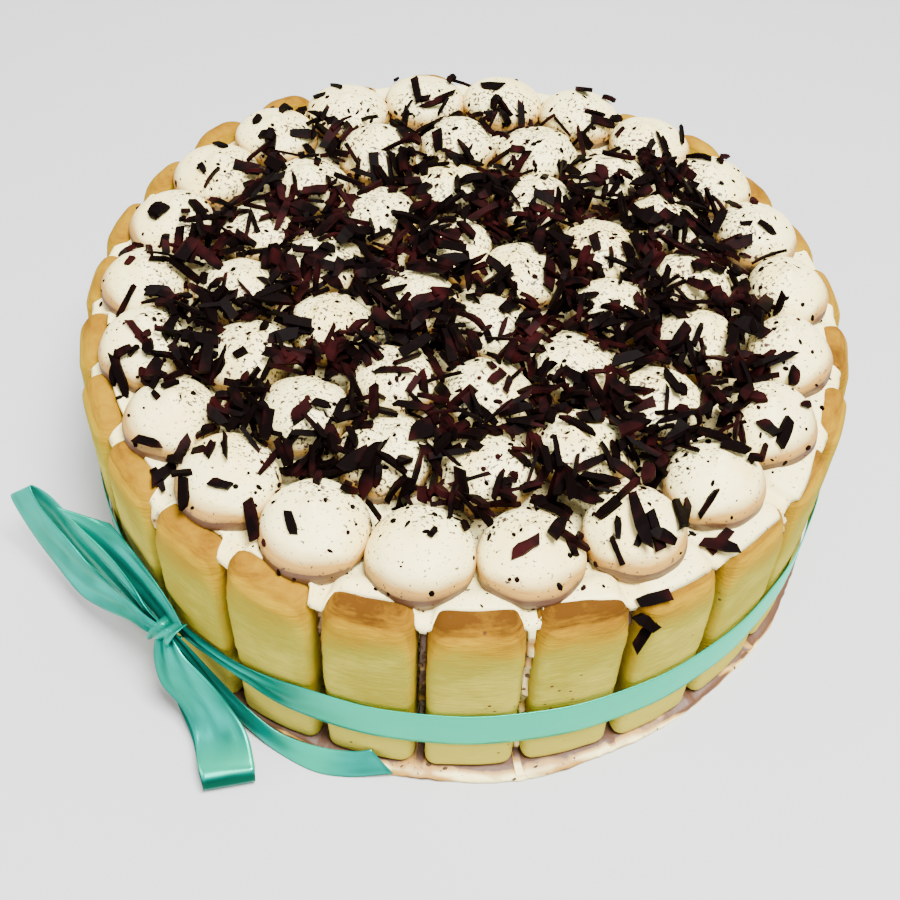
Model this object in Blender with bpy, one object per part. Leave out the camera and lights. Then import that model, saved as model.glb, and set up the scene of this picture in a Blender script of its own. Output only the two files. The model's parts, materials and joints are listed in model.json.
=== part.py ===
# Round tiramisu cake: a ring of upright sponge fingers, piped cream, dark chocolate shavings
# and a satin ribbon tied in a bow. Metres, +Z up, origin at the centre of the base.
# The bow and the cake's front are on the -Y side. Angles are in degrees, counterclockwise from +X.

import math
import random

import bmesh
import bpy
from mathutils import Matrix, Vector

MM = 0.001
GAP = 0.3 * MM

# Sponge fingers, standing round the cake
FINGER_COUNT = 27
FINGER_INNER = 112.5 * MM
FINGER_OUTER = 124.8 * MM
FINGER_FOOT = 1.8 * MM
FINGER_HEIGHT = 72.5 * MM
# How much each finger stands above that height, in millimetres
FINGER_RISES = (-1.0, -0.8, 0.3, 1.6, -1.2, -1.5, 0.5, 1.5, -0.5, 2.2, 2.4, 1.0, 1.2, 0.0,
                0.4, 1.0, 0.6, -0.1, 0.7, 1.0, 0.5, 0.7, -0.3, -0.1, 0.1, -0.7, -0.5)
TALL_FINGER = 18
TALL_FINGER_LEAN = 2.6 * MM
HALF_JOINT = 0.9 * MM
TOP_CORNER = 9.0 * MM
BOTTOM_CORNER = 4.0 * MM
INNER_EDGE = 1.3 * MM
OUTER_EDGE = 2.2 * MM
OUTER_EDGE_DEPTH = 4.5 * MM
OUTER_TOP_DROP = 3.0 * MM
OUTER_LEAN = 1.8 / 73.0
SLOPE_START = 58.0 * MM
INNER_SLOPE = 3.0 / 15.0

# Cream body with its squeezed-out foot and its ribs between the fingers
CREAM_TOP = 70.0 * MM
FOOT_HEIGHT = 1.5 * MM
FOOT_RADIUS = 127.2 * MM
FOOT_BULGE = 2.8 * MM
FOOT_BULGE_ANGLE = 280.0
FOOT_BULGE_SPREAD = 22.0
RIB_TIP = 119.8 * MM
RIB_UNEVEN = 1.2 * MM
RIB_LEVELS = (1.5 * MM, 24.0 * MM, 58.0 * MM, 64.0 * MM, 67.2 * MM, 70.0 * MM)

# Piped dollops: one outer ring of separate ones, three inner rings under the shavings
OUTER_DOLLOPS = 22
OUTER_RING = 100.5 * MM
OUTER_FIRST_ANGLE = 264.0
OUTER_RADIUS = 13.8 * MM
OUTER_HEIGHT = 13.6 * MM
INNER_RINGS = ((72.0 * MM, 16), (45.5 * MM, 10), (18.0 * MM, 4))
INNER_RADIUS = 13.4 * MM
INNER_HEIGHT = 13.2 * MM
INNER_DISC = 85.4 * MM
DISC_HEIGHT = 1.8 * MM
# Share of the radius at each share of the height, from the foot to the peak
DOLLOP_PROFILE = ((0.0, 0.90), (0.20, 1.0), (0.50, 0.90), (0.78, 0.60), (1.0, 0.16))

# Chocolate shavings
SHAVING_LENGTH = (8.0 * MM, 12.0 * MM)
SHAVING_WIDTH = (2.4 * MM, 3.4 * MM)
SHAVING_THICKNESS = 1.4 * MM
SHAVING_SINK = -0.1 * MM
HEAP_SHAVINGS = 62
HEAP_SPREAD = 79.0 * MM
DOLLOP_SHAVINGS = 2
CLEAN_DOLLOPS = (0, 1, 21)

# The hand-laid ring isn't a true circle: its radius is this share, plus waves given as
# (waves in a turn, share, angle of the crest)
RING_SHARE = 0.985
RING_WAVES = ((1, 0.0104, -171.0), (2, 0.0127, -158.0), (3, 0.0068, 53.0), (4, 0.0042, -174.0))
# Its inner part, up to the first radius, stays round, and beyond the second it follows fully
RING_BLEND = (80.0 * MM, 118.0 * MM)

# Ribbon
RIBBON_WIDTH = 15.8 * MM
RIBBON_THICKNESS = 0.6 * MM
BAND_RADIUS = 125.25 * MM
BAND_FOOT = 17.3 * MM
BAND_SIDES = 54
BOW_ANGLE = 230.6
BOW_RADIUS = 130.0 * MM
BOW_LEVEL = 29.4 * MM
KNOT_SIZE = (5.9 * MM, 3.5 * MM, 7.6 * MM)

random.seed(27)


def clear_scene():
    for thing in list(bpy.data.objects):
        bpy.data.objects.remove(thing, do_unlink=True)


def make_material(name, colour, roughness):
    material = bpy.data.materials.new(name)
    material.use_nodes = True
    shader = material.node_tree.nodes["Principled BSDF"]
    shader.inputs["Base Color"].default_value = (*colour, 1.0)
    shader.inputs["Roughness"].default_value = roughness
    shader.inputs["Metallic"].default_value = 0.0
    material.diffuse_color = (*colour, 1.0)
    return material


def polar(radius, angle, height=0.0):
    turn = math.radians(angle)
    return Vector((radius * math.cos(turn), radius * math.sin(turn), height))


def add_object(name, bm, material):
    """Turn a bmesh into an object with closed, outward faces."""
    bmesh.ops.recalc_face_normals(bm, faces=bm.faces)
    mesh = bpy.data.meshes.new(name)
    bm.to_mesh(mesh)
    bm.free()
    mesh.materials.append(material)
    thing = bpy.data.objects.new(name, mesh)
    bpy.context.scene.collection.objects.link(thing)
    return thing


def join_rings(bm, rings, closed=False):
    """Bridge rings of equally many vertices, one after the other."""
    pairs = list(zip(rings, rings[1:]))
    if closed:
        pairs.append((rings[-1], rings[0]))
    for lower, upper in pairs:
        for index in range(len(lower)):
            after = (index + 1) % len(lower)
            bm.faces.new((lower[index], lower[after], upper[after], upper[index]))


def ring_share(angle):
    """The ring's radius at an angle, as a share of a true circle's."""
    waves = (share * math.cos(math.radians(count * angle - crest)) for count, share, crest in RING_WAVES)
    return RING_SHARE + sum(waves)


def fit_to_ring(thing):
    """Move a round piece's points so that it follows the ring's real outline."""
    bpy.context.view_layer.update()
    place = thing.matrix_world
    back = place.inverted()
    bm = bmesh.new()
    bm.from_mesh(thing.data)
    bmesh.ops.triangulate(bm, faces=bm.faces)
    for vert in bm.verts:
        spot = place @ vert.co
        radius = math.hypot(spot.x, spot.y)
        blend = min(1.0, max(0.0, (radius - RING_BLEND[0]) / (RING_BLEND[1] - RING_BLEND[0])))
        blend = blend * blend * (3.0 - 2.0 * blend)
        share = 1.0 + (ring_share(math.degrees(math.atan2(spot.y, spot.x))) - 1.0) * blend
        vert.co = back @ Vector((spot.x * share, spot.y * share, spot.z))
    bm.to_mesh(thing.data)
    bm.free()


# Sponge fingers

HALF_PITCH = math.radians(180.0 / FINGER_COUNT)


def finger_top(index):
    return FINGER_HEIGHT + FINGER_RISES[index] * MM


def finger_lean(index):
    """How much higher one finger's corner on its far side stands than its middle."""
    return -TALL_FINGER_LEAN if index == TALL_FINGER else 0.0


def half_width(radius):
    """Half a finger's width at a distance from the axis, measured along its middle plane."""
    return radius * math.tan(HALF_PITCH) - HALF_JOINT / math.cos(HALF_PITCH)


def finger_outline(inset, top, lean):
    """Points as (side, distance in from the side, height), up one side and down the other."""
    corners = []
    for angle in (90.0, 45.0, 0.0):
        turn = math.radians(angle)
        reach = BOTTOM_CORNER - inset
        across = BOTTOM_CORNER - reach * math.cos(turn)
        corners.append((across, FINGER_FOOT + BOTTOM_CORNER - reach * math.sin(turn)))
    corners.append((inset, SLOPE_START))
    for angle in (0.0, 30.0, 60.0, 90.0):
        turn = math.radians(angle)
        reach = TOP_CORNER - inset
        across = TOP_CORNER - reach * math.cos(turn)
        corners.append((across, top - TOP_CORNER + reach * math.sin(turn)))
    points = []
    for side in (1, -1):
        run = corners if side == 1 else corners[::-1]
        for across, height in run:
            rise = lean * side if height > SLOPE_START else 0.0
            points.append((side, across, height + rise))
    return points


def finger_point(layer_radius, slope, side, across, height):
    radius = layer_radius + slope * max(0.0, height - SLOPE_START)
    if slope == 0.0:
        radius = layer_radius - OUTER_LEAN * height
    return Vector((radius, side * (half_width(radius) - across), height))


def make_finger(index, material):
    top = finger_top(index)
    lean = finger_lean(index)
    layers = (
        (FINGER_INNER, INNER_SLOPE, INNER_EDGE, 0.0),
        (FINGER_INNER + INNER_EDGE, INNER_SLOPE, 0.0, 0.0),
        (FINGER_OUTER - OUTER_EDGE_DEPTH, 0.0, 0.0, 0.0),
        (FINGER_OUTER, 0.0, OUTER_EDGE, OUTER_TOP_DROP),
    )
    bm = bmesh.new()
    rings = []
    for layer_radius, slope, inset, drop in layers:
        outline = finger_outline(inset, top - drop, lean)
        rings.append([bm.verts.new(finger_point(layer_radius, slope, *point)) for point in outline])
    join_rings(bm, rings)
    bm.faces.new(rings[-1])
    inner = rings[0]
    crease = 3
    other_crease = len(inner) - 1 - crease
    bm.faces.new(inner[crease:other_crease + 1])
    bm.faces.new(inner[:crease + 1] + inner[other_crease:])
    thing = add_object(f"finger_{index + 1:02d}", bm, material)
    thing.rotation_euler.z = math.radians((index + 0.5) * 360.0 / FINGER_COUNT)
    return thing


# Cream body

def foot_radius(angle):
    """The squeezed-out foot is widest at the front and wavy all round."""
    away = (angle - FOOT_BULGE_ANGLE) / FOOT_BULGE_SPREAD
    wave = 0.35 * MM * math.sin(math.radians(7.0 * angle)) + 0.3 * MM * math.sin(math.radians(17.0 * angle))
    return FOOT_RADIUS + FOOT_BULGE * math.exp(-away * away) + wave


def corner_retreat(index, side, height):
    """How far a finger's rounded top corner has drawn back from its side at a height."""
    index = index % FINGER_COUNT
    centre = finger_top(index) + side * finger_lean(index) - TOP_CORNER
    if height <= centre:
        return 0.0
    rise = min(height - centre, TOP_CORNER)
    return 0.9 * (TOP_CORNER - math.sqrt(TOP_CORNER ** 2 - rise ** 2))


def body_face(height):
    return FINGER_INNER - GAP + INNER_SLOPE * max(0.0, height - SLOPE_START)


def rib_base(boundary, side, height):
    """Where a rib leaves the face behind the finger on one side of a boundary."""
    index = boundary if side > 0 else boundary - 1
    half_rib = HALF_JOINT - GAP + corner_retreat(index, -side, height)
    face = body_face(height)
    across = face * math.tan(HALF_PITCH) - half_rib / math.cos(HALF_PITCH)
    middle = (boundary + 0.5 * side) * 2.0 * HALF_PITCH
    turn = Matrix.Rotation(middle, 3, "Z")
    return turn @ Vector((face, -side * across, height))


def rib_tip(boundary, side, height, reach):
    index = boundary if side > 0 else boundary - 1
    half_rib = HALF_JOINT - GAP + corner_retreat(index, -side, height)
    turn = Matrix.Rotation(boundary * 2.0 * HALF_PITCH, 3, "Z")
    return turn @ Vector((reach, side * half_rib, height))


def make_body(material):
    bm = bmesh.new()
    rings = []
    spread = 0.25 * math.degrees(2.0 * HALF_PITCH)
    for height in (0.0, FOOT_HEIGHT):
        ring = []
        for boundary in range(FINGER_COUNT):
            for step in (-1.5, -0.5, 0.5, 1.5):
                angle = math.degrees(boundary * 2.0 * HALF_PITCH) + step * spread
                ring.append(bm.verts.new(polar(foot_radius(angle), angle, height)))
        rings.append(ring)
    for height in RIB_LEVELS:
        ring = []
        for boundary in range(FINGER_COUNT):
            reach = RIB_TIP + random.uniform(-RIB_UNEVEN, RIB_UNEVEN)
            corners = (
                rib_base(boundary, -1, height),
                rib_tip(boundary, -1, height, reach),
                rib_tip(boundary, 1, height, reach),
                rib_base(boundary, 1, height),
            )
            ring.extend(bm.verts.new(corner) for corner in corners)
        rings.append(ring)
    join_rings(bm, rings)
    bm.faces.new(rings[0])
    bm.faces.new(rings[-1])
    return add_object("cake_body", bm, material)


# Piped dollops and shavings

def add_dollop(bm, centre, radius, height, lean, sides):
    """A turned dome whose peak leans a little to one side."""
    rings = []
    for share, width in DOLLOP_PROFILE:
        middle = centre + lean * share ** 2
        ring = []
        for side in range(sides):
            angle = 360.0 * side / sides
            ring.append(bm.verts.new(middle + polar(radius * width, angle, height * share)))
        rings.append(ring)
    join_rings(bm, rings)
    bm.faces.new(rings[0])
    bm.faces.new(rings[-1])


def dome_height(distance, radius, height):
    """Height of a dollop's surface at a distance from its middle, or none outside it."""
    share = distance / radius
    for (low, wide), (high, narrow) in zip(DOLLOP_PROFILE[1:], DOLLOP_PROFILE[2:]):
        if narrow <= share <= wide:
            return height * (low + (high - low) * (wide - share) / (wide - narrow))
    return height if share < DOLLOP_PROFILE[-1][1] else 0.0


def surface_height(spot, dollops):
    return max(
        base + dome_height((Vector((spot.x, spot.y)) - middle).length, radius, height)
        for middle, radius, height, base in dollops
    )


def shaving_place(spot, dollops):
    """Lay a shaving on the surface under it, sunk a little, at a random turn."""
    step = 2.0 * MM
    along = Vector((2 * step, 0, surface_height(spot + Vector((step, 0, 0)), dollops)
                    - surface_height(spot - Vector((step, 0, 0)), dollops)))
    across = Vector((0, 2 * step, surface_height(spot + Vector((0, step, 0)), dollops)
                     - surface_height(spot - Vector((0, step, 0)), dollops)))
    normal = along.cross(across).normalized()
    normal = (normal + Vector((0, 0, 0.8))).normalized()
    height = surface_height(spot, dollops)
    turn = normal.to_track_quat("Z", "Y").to_matrix().to_4x4()
    spin = Matrix.Rotation(random.uniform(0, math.pi), 4, "Z")
    tip = Matrix.Rotation(math.radians(random.uniform(-18, 18)), 4, "Y")
    place = Matrix.Translation(Vector((spot.x, spot.y, height + SHAVING_SINK)))
    return place @ turn @ spin @ tip


def make_piece(bm):
    """An unnamed helper object that a union takes in."""
    return add_object("piece", bm, bpy.data.materials["cream"])


def make_shaving(place, length):
    bm = bmesh.new()
    bmesh.ops.create_cube(bm, size=1.0)
    size = Vector((length, random.uniform(*SHAVING_WIDTH), SHAVING_THICKNESS))
    bmesh.ops.scale(bm, vec=size, verts=bm.verts)
    bmesh.ops.transform(bm, matrix=place, verts=bm.verts)
    lowest = min(vert.co.z for vert in bm.verts)
    lift = max(0.0, CREAM_TOP + 2.0 * GAP - lowest)
    bmesh.ops.translate(bm, vec=(0, 0, lift), verts=bm.verts)
    return make_piece(bm)


def islands(bm):
    """The separate shells of a mesh, each as a set of its faces."""
    waiting = set(bm.faces)
    found = []
    while waiting:
        shell = {waiting.pop()}
        front = list(shell)
        while front:
            face = front.pop()
            for edge in face.edges:
                for neighbour in edge.link_faces:
                    if neighbour in waiting:
                        waiting.discard(neighbour)
                        shell.add(neighbour)
                        front.append(neighbour)
        found.append(shell)
    return found


def keep_main_shell(mesh):
    """Drop loose scraps and fill sealed hollows, which are all smaller shells."""
    bm = bmesh.new()
    bm.from_mesh(mesh)
    shells = sorted(islands(bm), key=len, reverse=True)
    spare = [face for shell in shells[1:] for face in shell]
    bmesh.ops.delete(bm, geom=spare, context="FACES")
    bm.to_mesh(mesh)
    bm.free()


def union(name, core, pieces, material):
    """Fuse the pieces onto the core and keep the one solid that results."""
    group = bpy.data.collections.new(name + "_pieces")
    bpy.context.scene.collection.children.link(group)
    for piece in pieces:
        bpy.context.scene.collection.objects.unlink(piece)
        group.objects.link(piece)
    modifier = core.modifiers.new("union", "BOOLEAN")
    modifier.operation = "UNION"
    modifier.operand_type = "COLLECTION"
    modifier.collection = group
    modifier.solver = "EXACT"
    graph = bpy.context.evaluated_depsgraph_get()
    mesh = bpy.data.meshes.new_from_object(core.evaluated_get(graph))
    for thing in [core, *pieces]:
        bpy.data.objects.remove(thing, do_unlink=True)
    bpy.data.collections.remove(group)
    keep_main_shell(mesh)
    mesh.name = name
    mesh.materials.clear()
    mesh.materials.append(material)
    fused = bpy.data.objects.new(name, mesh)
    bpy.context.scene.collection.objects.link(fused)
    return fused


def make_outer_dollop(index, material):
    angle = OUTER_FIRST_ANGLE + index * 360.0 / OUTER_DOLLOPS
    base = CREAM_TOP + GAP
    radius = OUTER_RADIUS * random.uniform(0.975, 1.015)
    height = OUTER_HEIGHT * random.uniform(0.92, 1.08)
    middle = polar(OUTER_RING, angle, base)
    lean = polar(random.uniform(1.5, 3.5) * MM, angle + random.uniform(120, 240))
    bm = bmesh.new()
    add_dollop(bm, middle, radius, height, lean, 12)
    core = make_piece(bm)
    shavings = []
    if index not in CLEAN_DOLLOPS:
        under = [(middle.to_2d(), radius, height, base)]
        for number in range(DOLLOP_SHAVINGS):
            away = random.uniform(3.0, 6.0) * MM
            towards = angle + 180.0 + random.uniform(-25, 25) + (number - 0.5) * 110.0
            place = shaving_place(middle + polar(away, towards), under)
            shavings.append(make_shaving(place, SHAVING_LENGTH[0]))
    return union(f"dollop_{index + 1:02d}", core, shavings, material)


def spread_spots(count, reach):
    """Evenly spread places in a circle, by a sunflower rule with a seeded wobble."""
    golden = 180.0 * (3.0 - math.sqrt(5.0))
    for number in range(count):
        radius = reach * math.sqrt((number + 0.5) / count)
        wobble = Vector((random.uniform(-2, 2), random.uniform(-2, 2), 0)) * MM
        yield polar(radius, number * golden) + wobble


def make_heap(material):
    """Inner dollops on a low disc of cream, with the shavings that lie over them."""
    base = CREAM_TOP + GAP
    bm = bmesh.new()
    bmesh.ops.create_cone(bm, cap_ends=True, segments=48, radius1=INNER_DISC,
                          radius2=INNER_DISC - 1.0 * MM, depth=DISC_HEIGHT)
    bmesh.ops.translate(bm, vec=(0, 0, base + 0.5 * DISC_HEIGHT), verts=bm.verts)
    core = make_piece(bm)
    pieces = []
    under = []
    foot = base + 0.4 * DISC_HEIGHT
    for ring, (distance, count) in enumerate(INNER_RINGS):
        for number in range(count):
            angle = (number + 0.5 * ring + 0.25) * 360.0 / count
            middle = polar(distance + random.uniform(-1, 1) * MM, angle, foot)
            radius = INNER_RADIUS * random.uniform(0.93, 1.0)
            height = INNER_HEIGHT * random.uniform(0.88, 1.12)
            lean = polar(random.uniform(1.5, 4.0) * MM, random.uniform(0, 360))
            bm = bmesh.new()
            add_dollop(bm, middle, radius, height, lean, 9)
            pieces.append(make_piece(bm))
            under.append((middle.to_2d(), radius, height, foot))
    for spot in spread_spots(HEAP_SHAVINGS, HEAP_SPREAD):
        length = random.uniform(*SHAVING_LENGTH)
        pieces.append(make_shaving(shaving_place(spot, under), length))
    return union("topping_heap", core, pieces, material)


# Ribbon

def bow_point(along, out, height):
    """A place beside the knot: along the cake's edge towards the front, outwards, and up, in mm."""
    knot = polar(BOW_RADIUS, BOW_ANGLE)
    outward = polar(1.0, BOW_ANGLE)
    forward = polar(1.0, BOW_ANGLE + 90.0)
    return knot + (forward * along + outward * out) * MM + Vector((0, 0, height * MM))


def bow_direction(along, out, height):
    return bow_point(along, out, height) - bow_point(0, 0, 0)


def make_strip(name, stations, material):
    """A ribbon strip through stations, each a middle and half its width as vectors."""
    bm = bmesh.new()
    rings = []
    for number, (middle, half) in enumerate(stations):
        before = stations[max(number - 1, 0)][0]
        after = stations[min(number + 1, len(stations) - 1)][0]
        normal = (after - before).cross(half).normalized() * (0.5 * RIBBON_THICKNESS)
        corners = (middle - half - normal, middle + half - normal,
                   middle + half + normal, middle - half + normal)
        rings.append([bm.verts.new(corner) for corner in corners])
    for near, far in zip(rings, rings[1:]):
        # Both sides are cut along the same diagonal, so that a twist keeps its thickness
        for first, second, third in ((0, 1, 1), (3, 2, 2)):
            bm.faces.new((near[first], near[second], far[third]))
            bm.faces.new((near[first], far[third], far[first]))
        bm.faces.new((near[1], near[2], far[2], far[1]))
        bm.faces.new((near[3], near[0], far[0], far[3]))
    bm.faces.new(rings[0])
    bm.faces.new(rings[-1])
    return add_object(name, bm, material)


def bow_strip(name, places, material):
    stations = [(bow_point(*middle), bow_direction(*half)) for middle, half in places]
    return make_strip(name, stations, material)


def make_band(material):
    bm = bmesh.new()
    rings = []
    outer = BAND_RADIUS + RIBBON_THICKNESS
    top = BAND_FOOT + RIBBON_WIDTH
    section = ((BAND_RADIUS, BAND_FOOT), (outer, BAND_FOOT), (outer, top), (BAND_RADIUS, top))
    for side in range(BAND_SIDES):
        angle = 360.0 * side / BAND_SIDES
        rings.append([bm.verts.new(polar(radius, angle, height)) for radius, height in section])
    join_rings(bm, rings, closed=True)
    return add_object("ribbon_band", bm, material)


def make_knot(material):
    bm = bmesh.new()
    bmesh.ops.create_uvsphere(bm, u_segments=10, v_segments=6, radius=1.0)
    bmesh.ops.scale(bm, vec=KNOT_SIZE, verts=bm.verts)
    thing = add_object("ribbon_knot", bm, material)
    thing.location = polar(BOW_RADIUS, BOW_ANGLE, BOW_LEVEL)
    thing.rotation_euler.z = math.radians(BOW_ANGLE + 90.0)
    return thing


def make_left_loop(material):
    """Stands on edge, out along its near layer and back along its far one."""
    places = (
        ((-6.8, 2.7, 28.8), (0.0, -0.5, 3.6)),
        ((-14.5, 2.7, 26.4), (0.5, -1.0, 5.0)),
        ((-26.0, 3.2, 23.4), (1.0, -1.7, 6.5)),
        ((-36.5, 3.3, 21.0), (1.5, -2.2, 7.5)),
        ((-49.5, 2.3, 21.8), (1.5, -2.2, 7.7)),
        ((-61.5, 1.2, 24.0), (2.6, -1.8, 7.7)),
        ((-72.0, -0.9, 28.6), (5.4, -1.5, 6.0)),
        ((-69.0, -2.6, 29.2), (4.8, -1.0, 6.3)),
        ((-58.0, -3.2, 28.0), (2.0, -0.6, 7.4)),
        ((-44.0, -1.7, 24.2), (0.0, -0.3, 7.6)),
        ((-30.0, -0.7, 23.4), (0.0, -0.2, 7.0)),
        ((-16.0, -0.2, 25.2), (0.0, 0.0, 4.8)),
        ((-6.8, 0.3, 28.4), (0.0, 0.0, 3.0)),
    )
    return bow_strip("ribbon_loop_left", places, material)


def make_right_loop(material):
    """Falls outwards to the ground beside the cake, folded back under itself."""
    places = (
        ((4.4, 5.9, 22.4), (3.4, -1.8, 2.2)),
        ((12.0, 4.9, 17.0), (5.6, -3.6, 2.2)),
        ((19.0, 4.3, 11.8), (6.0, -4.4, 1.8)),
        ((27.0, 6.0, 7.8), (6.0, -5.2, 1.2)),
        ((35.6, 11.2, 5.3), (5.6, -5.8, 0.2)),
        ((38.4, 13.2, 3.2), (4.4, -6.0, 0.0)),
        ((34.6, 11.6, 1.2), (4.6, -5.8, 0.0)),
        ((25.0, 6.6, 3.0), (5.0, -4.8, 0.6)),
        ((15.0, 4.4, 8.6), (4.2, -3.6, 1.4)),
        ((6.0, 3.6, 16.6), (3.0, -2.0, 1.8)),
    )
    return bow_strip("ribbon_loop_right", places, material)


def make_left_tail(material):
    """Stands away above the left loop, twisted flat and cut on the slant."""
    places = (
        ((-6.8, -2.3, 33.1), (0.0, -0.3, 4.1)),
        ((-14.5, -4.0, 36.5), (2.5, -1.2, 5.0)),
        ((-25.5, -4.8, 37.4), (4.5, -1.7, 5.7)),
        ((-34.0, -5.1, 38.6), (7.0, -2.4, 4.0)),
        ((-42.7, -5.4, 39.5), (9.7, -3.2, 1.5)),
    )
    return bow_strip("ribbon_tail_left", places, material)


def make_right_tail(material):
    """Runs down from the knot and along the cake's foot, creased to half its width."""
    edges = (
        (233.6, 130.4, 20.4, 128.4, 26.0),
        (237.6, 130.0, 11.0, 127.9, 17.4),
        (243.0, 130.9, 3.4, 128.4, 9.6),
        (248.0, 132.6, 0.7, 129.3, 6.2),
        (253.5, 134.0, 0.5, 128.9, 6.4),
        (258.0, 132.6, 0.6, 127.7, 7.4),
    )
    stations = []
    for angle, low_radius, low_height, high_radius, high_height in edges:
        low = polar(low_radius * MM, angle, low_height * MM)
        high = polar(high_radius * MM, angle, high_height * MM)
        stations.append((0.5 * (low + high), 0.5 * (high - low)))
    low = polar(129.6 * MM, 263.6, 2.4 * MM)
    high = polar(126.6 * MM, 260.4, 9.0 * MM)
    stations.append((0.5 * (low + high), 0.5 * (high - low)))
    return make_strip("ribbon_tail_right", stations, material)


def main():
    clear_scene()
    cream = make_material("cream", (0.86, 0.78, 0.70), 0.55)
    sponge = make_material("sponge", (0.72, 0.60, 0.33), 0.85)
    chocolate = make_material("chocolate", (0.06, 0.03, 0.025), 0.45)
    satin = make_material("satin", (0.08, 0.56, 0.42), 0.30)
    round_pieces = [make_finger(index, sponge) for index in range(FINGER_COUNT)]
    round_pieces.append(make_body(cream))
    round_pieces += [make_outer_dollop(index, cream) for index in range(OUTER_DOLLOPS)]
    round_pieces.append(make_heap(chocolate))
    round_pieces.append(make_band(satin))
    for thing in round_pieces:
        fit_to_ring(thing)
    make_knot(satin)
    make_left_loop(satin)
    make_right_loop(satin)
    make_left_tail(satin)
    make_right_tail(satin)
    bpy.context.view_layer.update()


main()
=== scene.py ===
import itertools
import json
import math
import random

import bmesh
import bpy
import numpy as np
from mathutils import Matrix, Vector, noise
from mathutils.bvhtree import BVHTree

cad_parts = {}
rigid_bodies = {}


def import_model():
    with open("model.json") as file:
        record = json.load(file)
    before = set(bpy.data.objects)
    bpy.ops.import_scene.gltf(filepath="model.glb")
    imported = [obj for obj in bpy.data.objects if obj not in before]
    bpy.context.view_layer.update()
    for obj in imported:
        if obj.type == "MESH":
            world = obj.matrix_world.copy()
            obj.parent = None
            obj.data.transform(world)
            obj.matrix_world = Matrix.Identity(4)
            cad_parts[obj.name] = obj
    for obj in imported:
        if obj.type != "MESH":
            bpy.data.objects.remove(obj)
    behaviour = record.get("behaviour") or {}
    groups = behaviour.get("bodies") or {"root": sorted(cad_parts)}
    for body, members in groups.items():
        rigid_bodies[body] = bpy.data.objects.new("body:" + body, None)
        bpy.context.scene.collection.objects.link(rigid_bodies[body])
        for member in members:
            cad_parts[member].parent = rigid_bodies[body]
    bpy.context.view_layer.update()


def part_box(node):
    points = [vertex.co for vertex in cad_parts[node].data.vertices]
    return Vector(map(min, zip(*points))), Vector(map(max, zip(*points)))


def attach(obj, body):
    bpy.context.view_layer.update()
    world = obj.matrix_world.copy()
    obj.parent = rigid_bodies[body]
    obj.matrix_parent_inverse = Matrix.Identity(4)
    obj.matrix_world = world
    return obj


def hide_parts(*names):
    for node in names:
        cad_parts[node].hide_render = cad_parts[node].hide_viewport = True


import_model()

# A round tiramisu cake: sponge fingers, whipped cream, dark chocolate shavings, satin ribbon.
# Metres, +Z up, the bow towards -X and -Y. Angles are degrees, counterclockwise from +X.

mm = 0.001
fingerCount = 27
pitch = 360.0 / fingerCount
dice = random.Random(11)


# Small helpers

def polar(radius, degrees, height=0.0):
    turn = math.radians(degrees)
    return Vector((radius * math.cos(turn), radius * math.sin(turn), height))


def smooth(low, high, value):
    share = np.clip((value - low) / (high - low), 0.0, 1.0)
    return share * share * (3.0 - 2.0 * share)


def mix(low, high, share):
    return low + (high - low) * share


def lumps(points, size, seed=0.0):
    # soft noise from -1 to 1, with lumps about this size
    shift = Vector((seed, 1.7 * seed, 2.3 * seed))
    return np.array([noise.noise(Vector(point) / size + shift) for point in points])


# The hand-laid ring isn't a true circle: a share of the radius, plus waves given as
# (waves in a turn, share, angle of the crest). Its inner part stays round.
ringShare = 0.985
ringWaves = ((1, 0.0104, -171.0), (2, 0.0127, -158.0), (3, 0.0068, 53.0), (4, 0.0042, -174.0))
ringBlend = (80.0 * mm, 118.0 * mm)


def ringAt(degrees):
    waves = (size * np.cos(np.radians(count * degrees - crest)) for count, size, crest in ringWaves)
    return ringShare + sum(waves)


def fitToRing(points):
    points = np.array([tuple(point) for point in points])
    share = ringAt(np.degrees(np.arctan2(points[:, 1], points[:, 0])))
    share = 1.0 + (share - 1.0) * smooth(*ringBlend, np.hypot(points[:, 0], points[:, 1]))
    points[:, :2] *= share[:, None]
    return points


def aroundRing(keys, degrees):
    # reads a value off (angle, value) pairs that go all round
    angles, values = zip(*keys)
    return np.interp(degrees, angles, values, period=360)


def newMesh(name, points, faces, material):
    mesh = bpy.data.meshes.new(name)
    mesh.from_pydata([tuple(point) for point in points], [], faces)
    mesh.materials.append(material)
    return mesh


def setValues(mesh, **attributes):
    for label, values in attributes.items():
        mesh.attributes.new(label, "FLOAT", "POINT").data.foreach_set("value", np.array(values, np.float32))


def addObject(name, data):
    piece = bpy.data.objects.new(name, data)
    bpy.context.scene.collection.objects.link(piece)
    return piece


def newPiece(name, points, faces, material, **attributes):
    mesh = newMesh(name, points, faces, material)
    bm = bmesh.new()
    bm.from_mesh(mesh)
    bmesh.ops.recalc_face_normals(bm, faces=bm.faces)
    bm.to_mesh(mesh)
    bm.free()
    mesh.shade_smooth()
    setValues(mesh, **attributes)
    return addObject(name, mesh)


def meshPoints(piece, kind="co"):
    values = np.empty(3 * len(piece.data.vertices), np.float32)
    piece.data.vertices.foreach_get(kind, values)
    return values.reshape(-1, 3).astype(float)


def pushOut(piece, amount):
    # moves every point along its normal
    moved = meshPoints(piece) + meshPoints(piece, "normal") * np.asarray(amount)[:, None]
    piece.data.vertices.foreach_set("co", moved.astype(np.float32).ravel())
    piece.data.update()


def gathered(parts):
    # one list of points and one of faces, from pairs of them
    points, faces = [], []
    for some, sides in parts:
        faces += [[corner + len(points) for corner in side] for side in sides]
        points += [tuple(point) for point in some]
    return points, faces


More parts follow.
